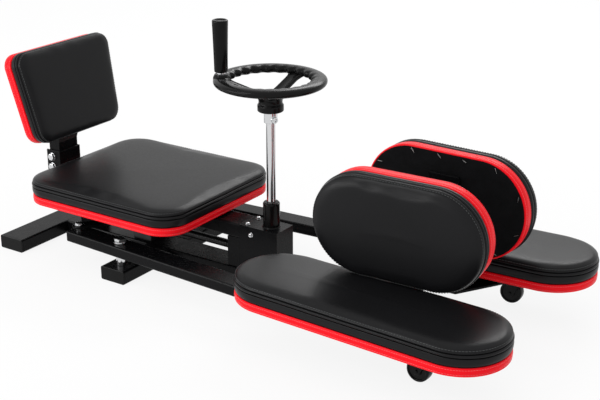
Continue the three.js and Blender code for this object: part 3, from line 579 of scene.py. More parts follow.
def swollen_points(points, pad, swelling):
    """Moves the cover's points as the simulated cover moved, up to a limit, and least at seams and foot."""
    if swelling is None:
        return points
    tree, moves = swelling
    low_line, high_line = seam_heights(pad)
    out = []
    for point in points:
        total, move = 0.0, Vector((0, 0, 0))
        for _, index, distance in tree.find_n(Vector(point), NEAR_COUNT):
            weight = math.exp(-((distance / NEAR_DISTANCE) ** 2)) + LEAST_WEIGHT
            move += moves[index] * weight
            total += weight
        move /= total
        z = point[2]
        ease = min(1.0, z / FOOT_EASE)
        if low_line - SEAM_EASE_BELOW < z < high_line + SEAM_EASE:
            ease = min(ease, max(LEAST_EASE, abs(z - high_line) / SEAM_EASE))
        move = Vector((SIDEWAYS_SHARE * move.x, SIDEWAYS_SHARE * move.y, move.z))
        if move.length > SWELL_LIMIT:
            move *= SWELL_LIMIT / move.length
        out.append(tuple(Vector(point) + move * ease))
    return out


# Cushions: gathers, stitches and seams

PUCKER_DEPTH, PUCKER_LIFT, PUCKER_REACH = 0.35, 2.5, 3.0
PUCKER_ROUND, PUCKER_UP = 0.16, 0.05
UP = Vector((0, 0, 1))
STITCH_STEPS, CORD_STEPS = 6, 6
STITCH_STATIONS = ((-0.5, 0.35), (-0.3, 1.0), (0.3, 1.0), (0.5, 0.35))
CUSHION_STITCH = dict(pitch=5.2, length=3.5, radius=0.42)
CROWN_STITCH_INSET = -0.2
VINYL_MARK, THREAD_HIGHLIGHT_MARK, SEAM_SHADE_MARK = 0, 1, 2


def pucker(points, pad, seed):
    """Small gathers just over the upper seam, where the crown is sewn to the strip."""
    middle = seam_heights(pad)[1] + PUCKER_LIFT
    out = []
    for x, y, z in points:
        near = math.exp(-(((z - middle) / PUCKER_REACH) ** 2))
        wave = noise.noise(Vector((x * PUCKER_ROUND + seed, y * PUCKER_ROUND, z * PUCKER_UP)))
        out.append((x, y, z + PUCKER_DEPTH * near * wave))
    return out


def stitch(length, radius):
    """A piece of thread or wire along X, thinner at its ends."""
    points = []
    for along, fat in STITCH_STATIONS:
        for i in range(STITCH_STEPS):
            angle = FULL * i / STITCH_STEPS
            points.append((along * length, radius * fat * math.cos(angle), radius * fat * math.sin(angle)))
    return points, ring_faces(STITCH_STEPS, len(STITCH_STATIONS))


def along_ring(ring, pitch):
    """Even stations round a closed ring: (place, direction)."""
    spans = [(Vector(ring[(i + 1) % len(ring)]) - Vector(ring[i])).length for i in range(len(ring))]
    whole = sum(spans)
    count = round(whole / pitch)
    out, index, passed = [], 0, 0.0
    for k in range(count):
        goal = whole * (k + 0.5) / count
        while passed + spans[index] < goal:
            passed += spans[index]
            index += 1
        a, b = Vector(ring[index]), Vector(ring[(index + 1) % len(ring)])
        share = (goal - passed) / spans[index]
        out.append((a + (b - a) * share, (b - a).normalized()))
    return out


def laid_along(spot, direction):
    """A frame at a point with X along a direction and Z near up."""
    side = UP.cross(direction).normalized()
    matrix = Matrix((direction, side, direction.cross(side))).transposed().to_4x4()
    matrix.translation = spot
    return matrix


def stitch_row(pad, inset, height, matrix, mark, pitch, length, radius):
    form = stitch(length, radius)
    stations = along_ring(pad_ring(pad, inset, height), pitch)
    return [(*form, matrix @ laid_along(spot, direction), mark) for spot, direction in stations]


def seam_shade_cord(pad, inset, height, radius, matrix):
    """A near-black matte cord round the pad, deep in a seam: painted shade that stands for the shadow in the
    groove.
    """
    rings = []
    for i in range(CORD_STEPS):
        angle = FULL * i / CORD_STEPS
        rings.append(pad_ring(pad, inset + radius * math.cos(angle), height + radius * math.sin(angle)))
    points = [p for ring in rings for p in ring]
    return points, ring_faces(len(rings[0]), CORD_STEPS, closed=True), matrix, SEAM_SHADE_MARK


def cushion(node, pad, matrix, swelling, seed):
    """A black cover with its seams and stitches."""
    rings = [pad_ring(pad, inset, height) for inset, height in cushion_profile(pad)]
    points, faces = lofted(close_rings(rings, 0.0, pad["side"] + pad["crown"] + TOP_LIFT))
    points = pucker(swollen_points(points, pad, swelling), pad, seed)
    parts = [(points, faces, matrix, VINYL_MARK)]
    # Stitches just under the crown's foot, their grey a painted highlight on black thread.
    inset = CROWN_FOOT_REACH * pad["reach"] + CROWN_STITCH_INSET
    height = pad["side"] + CROWN_FOOT_RISE * pad["crown"]
    parts += stitch_row(pad, inset, height, matrix, THREAD_HIGHLIGHT_MARK, **CUSHION_STITCH)
    low_line, high_line = seam_heights(pad)
    # Dark cords as painted shade, in the two seams and at the cover's foot over the red band.
    for inset, height, radius in ((1.9, high_line, 0.9), (1.2, low_line, 0.6), (2.1, 0.9, 0.8)):
        parts.append(seam_shade_cord(pad, inset, height, radius, matrix))
    piece = mesh_object(node + "_cover", parts, [BLACK_VINYL, THREAD_WITH_HIGHLIGHT, SEAM_SHADE], crease=60)
    finish_piece(piece, node)


# Boards

BAND_MARK, CLOTH_MARK, STAPLE_MARK, BAND_THREAD_HIGHLIGHT_MARK = 0, 1, 2, 3
SEWN_LINES = (0.24, 0.76)
BAND_STITCH = dict(pitch=4.4, length=3.2, radius=0.4)
BAND_STITCH_INSET = 0.25
# (inset, height) pairs of the dust cloth, from inside the band's lower edge to the middle of the back.
HEM = ((3.4, 2.2), (2.7, 1.2), (2.5, 0.6), (3.0, 0.15), (4.4, 0.02), (8.5, 0.05), (11.0, 0.25), (14.0, 0.45))
HEM_WAVE, HEM_PULL, HEM_LIFT = 0.045, 0.006, 0.12
HEM_SLICE = 3.1
CLOTH_DEPTH = 0.5
BACK_DEPTH = 3.0
CLOTH_SHARES, BOARD_TOP_SHARES = (0.8, 0.5, 0.2), (0.6, 0.2)
STAPLE_LENGTH, STAPLE_RADIUS = 10.0, 0.36
STAPLE_INSET, STAPLE_HEIGHT, STAPLE_PITCH = 9.5, -0.1, 58
STAPLE_SLANT, STAPLE_DRIFT = (20, 60), 9


def board_profile(pad):
    """(inset, height) pairs of the red band, from its recessed back: rolled edges and two sewn lines."""
    thick = pad["board"]
    low, high = (share * thick for share in SEWN_LINES)
    return smooth_line([
        (16.0, 3.2), (6.5, 2.9), (4.6, 1.4), (3.2, 0.35), (1.6, 0.15), (0.45, 0.8), (0.0, 2.0),
        (0.0, low - 0.9), (0.42, low), (-0.15, low + 1.0), (-0.45, thick / 2),
        (-0.15, high - 1.0), (0.42, high), (0.0, high + 0.9),
        (0.1, thick - 1.6), (1.0, thick - 0.6), (2.6, thick - 0.08), (6.0, thick - 0.02),
    ], steps=3)


def dust_cloth(pad, seed):
    """Black cloth over the board's back, a little wavy inside its turned hem."""
    rings = []
    for level, (inset, height) in enumerate(HEM):
        row = []
        for x, y, z in pad_ring(pad, inset, height):
            wave = noise.noise(Vector((x * HEM_WAVE + seed, y * HEM_WAVE, HEM_SLICE)))
            pull = 1 + HEM_PULL * wave * (level > 2)
            row.append((x * pull, y * pull, z + HEM_LIFT * abs(wave) * (level > 3)))
        rings.append(row)
    middle = [[(x * share, y * share, CLOTH_DEPTH) for x, y, z in rings[-1]] for share in CLOTH_SHARES]
    return lofted(rings + middle)


def staples(pad, matrix, keep_clear, seed):
    """Wire staples through the dust cloth, each with its own slant."""
    chooser = random.Random(seed)
    wire = stitch(STAPLE_LENGTH, STAPLE_RADIUS)
    parts = []
    for spot, direction in along_ring(pad_ring(pad, STAPLE_INSET, STAPLE_HEIGHT), STAPLE_PITCH):
        slant = chooser.uniform(*STAPLE_SLANT)
        spot = spot + direction * chooser.uniform(-STAPLE_DRIFT, STAPLE_DRIFT)
        if not keep_clear(spot.x, spot.y):
            parts.append((*wire, matrix @ laid_along(spot, direction) @ turn("Z", slant), STAPLE_MARK))
    return parts


def board(node, pad, matrix, keep_clear, seed):
    """The padded board under a cushion: a red band round it, and dust cloth stapled over its back."""
    rings = [pad_ring(pad, inset, height) for inset, height in board_profile(pad)]
    points, faces = lofted(close_rings(rings, BACK_DEPTH, pad["board"], BOARD_TOP_SHARES))
    parts = [(points, faces, matrix, BAND_MARK)]
    # Stitches along the sewn lines, paler than the band as a painted highlight.
    for share in SEWN_LINES:
        height = share * pad["board"]
        parts += stitch_row(pad, BAND_STITCH_INSET, height, matrix, BAND_THREAD_HIGHLIGHT_MARK, **BAND_STITCH)
    parts.append((*dust_cloth(pad, seed), matrix, CLOTH_MARK))
    parts += staples(pad, matrix, keep_clear, seed)
    piece = mesh_object(node + "_band", parts, [RED_VINYL, BACK_CLOTH, BRIGHT_STEEL, RED_THREAD_HIGHLIGHT], crease=50)
    finish_piece(piece, node)


def make_pad(kind, ending, matrix, swelling, keep_clear):
    """A board and its cushion, on a frame with Z out of the board's back through the cushion."""
    pad = PADS[kind]
    cloth_seed, cover_seed = pad["seeds"]
    board(kind + "_board" + ending, pad, matrix, keep_clear, cloth_seed)
    over = matrix @ place(0, 0, pad["board"] + pad["gap"])
    cushion(kind + "_cushion" + ending, pad, over, swelling, cover_seed)


def make_pads():
    swellings = {kind: None for kind in PADS}
    swellings = {kind: swell("swelling_" + kind, pad) for kind, pad in PADS.items()}
    seat = place(SEAT_X, 0, SEAT_HEIGHT)
    make_pad("seat", "", seat, swellings["seat"], lambda x, y: False)
    back = place(BACK_X, 0, BACK_HEIGHT) @ turn("Y", 90 - BACK_TILT)
    make_pad("back", "", back, swellings["back"], lambda x, y: x > 0 and abs(y) < BACK_CLEAR)
    for side, sign in SIDES:
        leg = arm(sign) @ place(LEG_X, 0, ARM_TOP) @ turn("Z", LEG_TOE)
        make_pad("leg", "_" + side, leg, swellings["leg"], lambda x, y: abs(y) < LEG_CLEAR)
        foot = arm(sign) @ place(SIDE_X, SIDE_Y, SIDE_HEIGHT)
        stand = foot @ turn("Z", SIDE_TOE) @ turn("X", -90 - SIDE_LEAN)
        make_pad("side", "_" + side, stand, swellings["side"], lambda x, y: y > 0 and abs(x) < SIDE_CLEAR)


# Handwheel

WHEEL_HEIGHT, WHEEL_RADIUS = 393, 101.6
RIM_REACH, RIM_RISE = 14, 7.8
RIM_MIDDLE = WHEEL_RADIUS - RIM_REACH
RIM_WAVE, RIM_WAVES = 2.3, 24
RIM_STEPS, SECTION_STEPS = 288, 28
# Powers that make the rim's and the spokes' sections squarer, across and upwards.
RIM_SQUARE, SPOKE_SQUARE = (0.9, 0.85), (0.35, 0.55)
WAVE_FADE, WAVE_UNDER = 0.8, 0.4
SPOKES, SPOKE_ANGLE = 3, -152
SPOKE_STEPS = 26
SPOKE_START, SPOKE_OVERLAP = 12, 2
SPOKE_LOW, SPOKE_HIGH = 9, 0.5
SPOKE_RISE = 1.05
SPOKE_HALF_WIDTH, SPOKE_HALF_THICK = 11.8, 3.9
RIM_FLARE, RIM_FLARE_FROM, RIM_FLARE_POWER = 13.0, 0.66, 1.8
HUB_FLARE, HUB_FLARE_TO = 4.0, 0.3
SPOKE_DISH, SPOKE_DISH_SHARE = 1.6, 0.72
SPOKE_LEAN = 0.36
HUB_BOTTOM, HUB_TOP = 337.5, 372
HUB_BORE = 8.7
HANDLE_REACH, HANDLE_ANGLE = 87, -148
BOSS_TOP = 404.5
GRIP_BOTTOM, GRIP_TOP = 408.2, 501.5
HANDLE = SHAFT @ turn("Z", HANDLE_ANGLE) @ place(HANDLE_REACH, 0, 0)


def squared(value, power):
    """A sine or cosine pushed towards -1 or 1, which makes a round section squarer."""
    return math.copysign(abs(value) ** power, value)


def wheel_rim():
    """The rim's section is a flattened round; its inner side is wavy for the fingers."""
    points = []
    for i in range(RIM_STEPS):
        angle = FULL * i / RIM_STEPS
        wave = RIM_WAVE * math.cos(RIM_WAVES * angle)
        for j in range(SECTION_STEPS):
            around = FULL * j / SECTION_STEPS
            across, up = math.cos(around), math.sin(around)
            inward = max(-across, 0.0) ** WAVE_FADE
            under = 1 + WAVE_UNDER * max(-up, 0.0)
            radius = RIM_MIDDLE + RIM_REACH * squared(across, RIM_SQUARE[0]) + wave * inward * under
            height = WHEEL_HEIGHT + RIM_RISE * squared(up, RIM_SQUARE[1])
            points.append((radius * math.cos(angle), radius * math.sin(angle), height))
    return points, ring_faces(SECTION_STEPS, RIM_STEPS, closed=True)


def wheel_spoke():
    """A spoke dished up from the hub to the rim, wider where it meets each."""
    start, end = SPOKE_START, RIM_MIDDLE + SPOKE_OVERLAP
    low, high = HUB_TOP - SPOKE_LOW, WHEEL_HEIGHT - SPOKE_HIGH
    points = []
    for i in range(SPOKE_STEPS):
        t = i / (SPOKE_STEPS - 1)
        x = start + (end - start) * t
        z = low + (high - low) * (t ** SPOKE_RISE)
        at_rim = RIM_FLARE * max(0.0, (t - RIM_FLARE_FROM) / (1 - RIM_FLARE_FROM)) ** RIM_FLARE_POWER
        at_hub = HUB_FLARE * max(0.0, (HUB_FLARE_TO - t) / HUB_FLARE_TO) ** 2
        wide = SPOKE_HALF_WIDTH + (at_rim + at_hub)
        for j in range(SECTION_STEPS):
            around = FULL * j / SECTION_STEPS
            across, up = math.cos(around), math.sin(around)
            y = wide * squared(across, SPOKE_SQUARE[0])
            rise = SPOKE_HALF_THICK * squared(up, SPOKE_SQUARE[1])
            dish = SPOKE_DISH * (abs(y) < SPOKE_DISH_SHARE * wide) * (up > 0)
            points.append((x - rise * SPOKE_LEAN, y, z + rise - dish))
    return points, ring_faces(SECTION_STEPS, SPOKE_STEPS)


def wheel_hub():
    low, high = HUB_BOTTOM, HUB_TOP
    outside = smooth_line([
        (23.8, low + 1.2), (23.8, low + 11), (22.9, low + 12.8), (21.7, low + 15), (21.9, low + 20),
        (23.8, low + 24), (26.0, high - 7), (26.4, high - 3.4), (23.5, high - 0.7), (15.0, high),
    ], steps=3)
    return pipe([(HUB_BORE, low), (22.6, low), *outside, (HUB_BORE, high)], FINE_STEPS)


def handle_boss():
    """The boss on the rim that the handle's pin stands in."""
    low, high, bore = WHEEL_HEIGHT - 2, BOSS_TOP, 5.3
    return pipe([
        (bore, low), (14.8, low + 4), (14.2, high - 5), (12.4, high - 1.4), (11.6, high), (bore, high),
    ])


def make_handwheel():
    parts = [(*wheel_rim(), SHAFT, 0)]
    for i in range(SPOKES):
        parts.append((*wheel_spoke(), SHAFT @ turn("Z", SPOKE_ANGLE + 360 / SPOKES * i), 0))
    parts.append((*wheel_hub(), SHAFT, 0))
    shaft_end = plate_profile(0, HUB_BORE - 0.1, HUB_TOP - 4, HUB_TOP - 1, 0.6)
    parts.append((*turned(shaft_end, COARSE_STEPS), SHAFT, 1))
    parts.append((*handle_boss(), HANDLE, 0))
    wheel = mesh_object("handwheel_cast", parts, [WHEEL_PLASTIC, BRIGHT_STEEL], crease=40)
    finish_piece(wheel, "handwheel")


def make_handle():
    radius, collar, foot, seat, tip = 5, 8, WHEEL_HEIGHT - 2.7, BOSS_TOP, GRIP_TOP - 14.5
    pin = [
        (0, foot), (radius, foot), (radius, seat),
        (collar - 0.4, seat), (collar, seat + 0.4), (collar, seat + 2.9), (collar - 0.4, seat + 3.3),
        (radius, seat + 3.4), (radius, tip), (0, tip),
    ]
    nut = hexagon(12.5, seat + 0.1, seat + 3.5, 0.5)
    chrome_piece("handle_pin", [(*turned(pin), HANDLE, 0), (*nut, HANDLE, 0)])
    low, high, bore = GRIP_BOTTOM, GRIP_TOP, 5.4
    grip = smooth_line([
        (bore, low), (10.2, low), (11.6, low + 0.7), (12.1, low + 2.4), (12.25, low + 12), (12.7, low + 32),
        (13.3, low + 57), (13.95, high - 13.5), (14.3, high - 3), (14.0, high - 1.1), (13.1, high - 0.2),
        (12.0, high), (10.8, high - 0.5), (10.0, high - 1.6), (6.0, high - 1.8), (0.2, high - 1.8),
    ], steps=4)
    grip += [(0.1, high - 14), (bore, high - 14)]
    parts = [(*pipe(grip, FINE_STEPS), HANDLE, 0)]
    piece = mesh_object("handle_grip_moulded", parts, [BLACK_PLASTIC], crease=50)
    finish_piece(piece, "handle_grip")


# Shaft, collar, sleeve and screw

SHAFT_RADIUS, SHAFT_BORE = 8.4, 8.7
SHAFT_BOTTOM, SHAFT_SHOULDER, SHAFT_TOP = 69.3, 88, 370
COLLAR_BOTTOM, COLLAR_RADIUS = 316, 12.5
SET_SCREW_ANGLE, SET_SCREW_HEIGHT = -25, 323
SLEEVE_RADIUS, SLEEVE_NECK, SLEEVE_TOP = 15.65, 14.2, 164
JOURNAL_RADIUS, SCREW_LIP = 6, 7.9
THREAD_PITCH, THREAD_STARTS = 4.0, 2
THREAD_ROOT, THREAD_DEPTH = 6.7, 1.3
THREAD_REAR, THREAD_FRONT = 98.4, 439.6
THREAD_STEPS, THREAD_SPACING = 28, 0.5
SCREW_REAR, SCREW_FRONT = 66, 510.7


def make_shaft():
    low, high, radius, journal = SHAFT_BOTTOM, SHAFT_TOP, SHAFT_RADIUS, JOURNAL_RADIUS
    shaft = [
        (0, low), (journal - 0.4, low), (journal, low + 0.6), (journal, SHAFT_SHOULDER),
        (radius - 0.4, SHAFT_SHOULDER), (radius, SHAFT_SHOULDER + 0.5),
        (radius, high - 0.8), (radius - 0.8, high), (0, high),
    ]
    chrome_piece("drive_shaft", [(*turned(shaft, FINE_STEPS), SHAFT, 0)])
    low, high, radius = COLLAR_BOTTOM, HUB_BOTTOM - 0.3, COLLAR_RADIUS
    collar = [
        (SHAFT_BORE, low), (radius - 0.6, low), (radius, low + 0.6),
        (radius, high - 0.9), (radius - 0.6, high), (SHAFT_BORE, high),
    ]
    screw = [(0, 8.9), (6.2, 8.9), (6.2, 15.8), (5.5, 16.5), (3.4, 16.5), (3.1, 13.8), (0, 13.6)]
    seat = SHAFT @ turn("Z", SET_SCREW_ANGLE) @ place(0, 0, SET_SCREW_HEIGHT) @ turn("Y", 90)
    parts = [(*pipe(collar, FINE_STEPS), SHAFT, 0), (*turned(screw, COARSE_STEPS), seat, 0)]
    chrome_piece("shaft_collar", parts)


def make_sleeve():
    low, high, bore, radius, neck = HOUSING_TOP, SLEEVE_TOP, SHAFT_BORE + 0.1, SLEEVE_RADIUS, SLEEVE_NECK
    sleeve = [
        (bore, low), (radius, low), (radius, high - 5.5), (radius, high - 2.6), (15.2, high - 1.8),
        (neck, high - 1.3), (neck, high - 0.7), (neck - 0.8, high), (bore, high),
    ]
    weld = [(15.6, low), (17.4, low), (16.6, low + 1.2), (15.6, low + 2.2)]
    parts = [(*pipe(sleeve, FINE_STEPS), SHAFT, 0), (*pipe(weld), SHAFT, 1)]
    piece = mesh_object("shaft_sleeve_turned", parts, [BLACK_PLASTIC, BLACK_STEEL], TURNED_CREASE)
    finish_piece(piece, "shaft_sleeve")


def screw_thread():
    """A trapezoidal thread, as rings of points that each turn a little further."""
    points = []
    count = int((THREAD_FRONT - THREAD_REAR) / THREAD_SPACING)
    for level in range(count + 1):
        along = THREAD_REAR + (THREAD_FRONT - THREAD_REAR) * level / count
        for i in range(THREAD_STEPS):
            angle = FULL * i / THREAD_STEPS
            phase = (along / THREAD_PITCH - THREAD_STARTS * i / THREAD_STEPS) % 1.0
            flank = min(1.0, max(0.0, 3.2 * abs(phase - 0.5) * 2 - 1.1))
            radius = THREAD_ROOT + THREAD_DEPTH * flank
            points.append((radius * math.cos(angle), radius * math.sin(angle), along))
    return points, ring_faces(THREAD_STEPS, count + 1)


def make_leadscrew():
    """A two-start trapezoidal thread of 8 mm lead between two plain journals."""
    rear, front, lip, journal = THREAD_REAR, THREAD_FRONT, SCREW_LIP, JOURNAL_RADIUS
    rear_end = [
        (0, SCREW_REAR), (journal - 0.4, SCREW_REAR), (journal, SCREW_REAR + 0.5), (journal, rear),
        (lip - 0.3, rear + 0.01), (lip, rear + 0.8), (lip, rear + 2), (0, rear + 2),
    ]
    front_end = [
        (0, front - 2), (lip, front - 2), (lip, front - 0.8), (lip - 0.3, front), (journal, front + 0.01),
        (journal, SCREW_FRONT - 0.5), (journal - 0.4, SCREW_FRONT), (0, SCREW_FRONT),
    ]
    along = place(0, 0, SCREW_HEIGHT) @ turn("Y", 90)
    ends = [(*turned(profile, COARSE_STEPS), along, 0) for profile in (rear_end, front_end)]
    piece = mesh_object("leadscrew_threaded", [(*screw_thread(), along, 0), *ends], [DARK_STEEL], crease=35)
    finish_piece(piece, "leadscrew")


# Bolts

HEAD_CHAMFER = 0.9
STEM_STEPS, SPACER_STEPS = 32, 40
PIVOT_BOLT = dict(width=19, height=7.6, washer_radius=12.5, washer_high=2, shank=6, length=59.6)
LINK_BOLT = dict(width=13, height=3.6, washer_radius=9.5, washer_high=1.3, shank=4, length=11.8)
BOX_BOLT = dict(width=7, height=3.4, washer_radius=4.6, washer_high=0.8, shank=2.5, length=8)
BRACKET_BOLT = dict(width=13, height=5.3, washer_radius=8, washer_high=1.5, shank=4, length=64)
PIVOT_BOLT_SEAT = ARM_TOP + 0.3
LINK_BOLT_X, LINK_BOLT_SEAT = -110.2, 80.8
BOX_BOLT_X, BOX_BOLT_Y = 481, 17.5
BOX_SIDE_BOLT = (494.7, -26.5, 100)
BRACKET_BOLT_X, BRACKET_BOLT_Y = 0.5, -29.5
BRACKET_NUT = (-64.3, -59)
BRACKET_BOLT_HEIGHTS = (("bracket_bolt_upper", 161), ("bracket_bolt_lower", 140))


def bolt_parts(matrix, width, height, washer_radius, washer_high, shank, length):
    """A hexagon bolt on a washer, its seat at height zero."""
    stem = [
        (0, -length), (shank - 0.5, -length), (shank, -length + 0.7),
        (shank, washer_high), (0, washer_high),
    ]
    return [
        (*hexagon(width, washer_high - 0.05, washer_high + height, HEAD_CHAMFER), matrix, 0),
        (*washer(washer_radius, shank, 0, washer_high), matrix, 0),
        (*turned(stem, STEM_STEPS), matrix, 0),
    ]


def make_pivot(side, sign):
    """The arm's bolt with a second washer, and the spacer tube on the middle foot."""
    spot = half(sign) @ place(PIVOT_X, PIVOT_Y, PIVOT_BOLT_SEAT)
    parts = bolt_parts(spot, **PIVOT_BOLT)
    parts.append((*washer(10.0, PIVOT_BOLT["shank"], 1.95, 3.4), spot, 0))
    chrome_piece("pivot_bolt_" + side, parts)
    inner, outer, low, high = 6.4, 9.5, 27, 49.3
    spacer = [
        (inner, low), (outer - 0.4, low), (outer, low + 0.5), (outer, high - 0.5), (outer - 0.4, high),
        (inner, high),
    ]
    spot = half(sign) @ place(PIVOT_X, PIVOT_Y, 0)
    chrome_piece("pivot_spacer_" + side, [(*pipe(spacer, COARSE_STEPS), spot, 0)])


def make_link_bolt(side, sign):
    """The bolt through the link into the arm's rear end, with a spacer disc under the link."""
    spot = arm(sign) @ place(LINK_BOLT_X, 0, 0)
    parts = bolt_parts(spot @ place(0, 0, LINK_BOLT_SEAT), **LINK_BOLT)
    low, high, radius = 71.3, 75.2, 7
    spacer = [
        (0, low), (radius - 0.3, low), (radius, low + 0.4),
        (radius, high - 0.3), (radius - 0.3, high), (0, high),
    ]
    parts.append((*turned(spacer, SPACER_STEPS), spot, 0))
    chrome_piece("link_bolt_" + side, parts)


def make_bolts():
    for side, sign in SIDES:
        make_pivot(side, sign)
        make_link_bolt(side, sign)
        spot = place(BOX_BOLT_X, sign * BOX_BOLT_Y, HOUSING_TOP)
        chrome_piece("housing_bolt_" + side, bolt_parts(spot, **BOX_BOLT))
    chrome_piece("housing_side_bolt", bolt_parts(place(*BOX_SIDE_BOLT) @ turn("X", 90), **BOX_BOLT))
    for name, height in BRACKET_BOLT_HEIGHTS:
        spot = place(BRACKET_BOLT_X, BRACKET_BOLT_Y, height) @ turn("X", 90)
        nut = hexagon(BRACKET_BOLT["width"], *BRACKET_NUT, HEAD_CHAMFER)
        chrome_piece(name, [*bolt_parts(spot, **BRACKET_BOLT), (*nut, spot, 0)])


# Casters

CASTER_AXLE_X, CASTER_RADIUS = 662, 20.8
CASTER_STEPS = 72


def make_casters():
    """Wheels with a hub ring and a dished face on both sides of a slightly domed tread."""
    face = [
        (3.4, 7.4), (5.6, 7.8), (6.4, 8.8), (8.0, 8.8), (8.6, 7.4), (15.4, 7.2), (16.2, 8.6), (17.8, 9.0),
        (19.6, 8.2),
    ]
    far = [(radius, -along) for radius, along in face]
    tread = [(20.5, -6.0), (CASTER_RADIUS, 0.0), (20.5, 6.0)]
    section = smooth_line(far + tread + face[::-1], steps=2)
    for side, sign in SIDES:
        hub = arm(sign) @ place(CASTER_AXLE_X, 0, CASTER_RADIUS) @ turn("X", 90)
        parts = [(*pipe(section, CASTER_STEPS), hub, 0)]
        piece = mesh_object("caster_wheel_%s_moulded" % side, parts, [BLACK_PLASTIC], crease=40)
        finish_piece(piece, "caster_wheel_" + side)


# CAD nodes that stay

EDGE, EDGE_ANGLE = 0.9, 38
JOINED_CORNERS = 1e-5
PLAIN_NODES = (
    (BLACK_STEEL, (
        "rear_foot", "main_beam", "middle_foot_right", "middle_foot_left", "seat_post", "bearing_post",
        "gear_housing", "upper_tube", "seat_plate", "back_lower_bracket", "back_upper_bracket",
        "link_right", "link_left", "arm_tube_right", "arm_tube_left",
        "side_bracket_right", "side_bracket_left",
    )),
    (BLACK_PLASTIC, (
        "rear_foot_plug_right", "rear_foot_plug_left", "middle_foot_plug_right", "middle_foot_plug_left",
        "caster_fork_right", "caster_fork_left",
    )),
    (BRIGHT_STEEL, ("bevel_pinion", "bevel_gear", "caster_plate_right", "caster_plate_left")),
    (DARK_STEEL, ("drive_nut",)),
)


def dress_node(node, material):
    """A CAD node keeps its shape; it gets a finish and fine rounded edges."""
    piece = NODES[node]
    for slot in piece.material_slots:
        slot.material = material
    join_points = piece.modifiers.new("joined", "WELD")
    join_points.merge_threshold = JOINED_CORNERS
    rounded = piece.modifiers.new("rounded", "BEVEL")
    rounded.width = EDGE * MM
    rounded.segments = 2
    rounded.limit_method = "ANGLE"
    rounded.angle_limit = math.radians(EDGE_ANGLE)
    rounded.use_clamp_overlap = True


def dress_nodes():
    for material, members in PLAIN_NODES:
        for node in members:
            dress_node(node, material)


# Light, floor and camera, in metres

# Each lamp's name, place, target, size and power.
LAMPS = (
    ("key", (-0.6, -2.5, 2.5), (0.4, 0, 0.1), (1.2, 0.8), 24),
    ("top", (0.0, 2.4, 2.0), (0.6, 0, 0.1), (1.8, 0.8), 28),
    ("edge", (-1.35, -2.65, 0.7), (0.5, -0.1, 0.15), (2.4, 0.8), 32),
)
WHITE = (1, 1, 1, 1)
DOME_LOW, DOME_HIGH, DOME_SPAN = (0.42, 0.42, 0.43, 1), (0.95, 0.95, 0.95, 1), (0.0, 0.9)
FLOOR_REACH, FLOOR_HEIGHT = 30.0, -0.0003
FLOOR_COLOUR, FLOOR_ROUGHNESS, FLOOR_GLOW = (0.86, 0.86, 0.86, 1), 0.9, 0.88
CAMERA_PLACE = (1.7366, -1.7291, 0.9707)
CAMERA_DOWN, CAMERA_HEADING = 20.84, 123.64
FOCAL_PIXELS, PHOTO_WIDTH, SENSOR_WIDTH = 1231.74, 600, 36
VIEW_REACH = 100


def make_lamp(name, spot, target, size, power):
    data = bpy.data.lights.new(name, "AREA")
    data.shape = "RECTANGLE"
    data.size, data.size_y = size
    data.energy = power
    piece = bpy.data.objects.new(name, data)
    piece.location = spot
    piece.rotation_euler = (Vector(target) - Vector(spot)).to_track_quat("-Z", "Y").to_euler()
    bpy.context.scene.collection.objects.link(piece)


def background_rays(nodes, links):
    """1 for camera, glossy and transmission rays, and 0 for all others."""
    path = nodes.new("ShaderNodeLightPath")
    value = path.outputs["Is Camera Ray"]
    for name in ("Is Glossy Ray", "Is Transmission Ray"):
        both = nodes.new("ShaderNodeMath")
        both.operation = "MAXIMUM"
        links.new(value, both.inputs[0])
        links.new(path.outputs[name], both.inputs[1])
        value = both.outputs["Value"]
    return value


def make_world():
    """Soft light that grows towards the zenith, and plain white as the background."""
    world = bpy.data.worlds.new("studio")
    bpy.context.scene.world = world
    world.use_nodes = True
    nodes, links = world.node_tree.nodes, world.node_tree.links
    direction = nodes.new("ShaderNodeTexCoord")
    parts = nodes.new("ShaderNodeSeparateXYZ")
    links.new(direction.outputs["Generated"], parts.inputs["Vector"])
    ramp = nodes.new("ShaderNodeValToRGB")
    for stop, height, colour in zip(ramp.color_ramp.elements, DOME_SPAN, (DOME_LOW, DOME_HIGH)):
        stop.position = height
        stop.color = colour
    links.new(parts.outputs["Z"], ramp.inputs["Fac"])
    mix = nodes.new("ShaderNodeMix")
    mix.data_type = "RGBA"
    links.new(background_rays(nodes, links), mix.inputs["Factor"])
    links.new(ramp.outputs["Color"], mix.inputs[MIX_FIRST])
    mix.inputs[MIX_SECOND].default_value = WHITE
    back = nodes["Background"]
    links.new(mix.outputs[MIX_RESULT], back.inputs["Color"])
    back.inputs["Strength"].default_value = 1.0


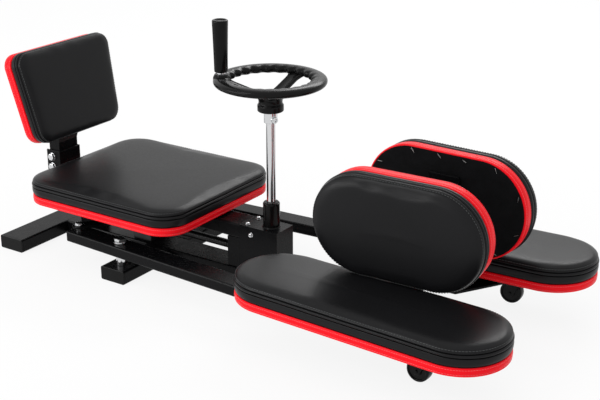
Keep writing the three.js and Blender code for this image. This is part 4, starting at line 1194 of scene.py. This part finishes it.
def floor_look():
    """A pale floor that glows white to background rays, and still shows the object's shadow."""
    material, nodes, links, bsdf = shader("floor_look")
    bsdf.inputs["Base Color"].default_value = FLOOR_COLOUR
    bsdf.inputs["Roughness"].default_value = FLOOR_ROUGHNESS
    glow = nodes.new("ShaderNodeEmission")
    glow.inputs["Color"].default_value = WHITE
    glow.inputs["Strength"].default_value = 1.0
    mix = nodes.new("ShaderNodeMixShader")
    share = spread(nodes, links, background_rays(nodes, links), (0, 1), (0, FLOOR_GLOW))
    links.new(share, mix.inputs["Fac"])
    links.new(bsdf.outputs["BSDF"], mix.inputs[1])
    links.new(glow.outputs["Emission"], mix.inputs[2])
    links.new(mix.outputs["Shader"], nodes["Material Output"].inputs["Surface"])
    return material


def make_floor():
    data = bpy.data.meshes.new("floor")
    reach, low = FLOOR_REACH, FLOOR_HEIGHT
    corners = [(-reach, -reach, low), (reach, -reach, low), (reach, reach, low), (-reach, reach, low)]
    data.from_pydata(corners, [], [(0, 1, 2, 3)])
    data.materials.append(floor_look())
    floor = bpy.data.objects.new("floor", data)
    bpy.context.scene.collection.objects.link(floor)


def make_camera():
    """The photograph's camera, solved from its straight edges and pad outlines."""
    data = bpy.data.cameras.new("camera")
    camera = bpy.data.objects.new("camera", data)
    bpy.context.scene.collection.objects.link(camera)
    down, heading = math.radians(CAMERA_DOWN), math.radians(CAMERA_HEADING)
    level = math.cos(down)
    sight = Vector((level * math.cos(heading), level * math.sin(heading), -math.sin(down)))
    camera.location = CAMERA_PLACE
    camera.rotation_euler = sight.to_track_quat("-Z", "Y").to_euler()
    data.sensor_width = SENSOR_WIDTH
    data.lens = FOCAL_PIXELS * SENSOR_WIDTH / PHOTO_WIDTH
    data.clip_end = VIEW_REACH
    bpy.context.scene.camera = camera


bpy.context.scene.view_settings.view_transform = "Standard"
make_world()
make_floor()
make_camera()
for lamp in LAMPS:
    make_lamp(*lamp)
make_pads()
make_handwheel()
make_handle()
make_shaft()
make_sleeve()
make_leadscrew()
make_bolts()
make_casters()
dress_nodes()
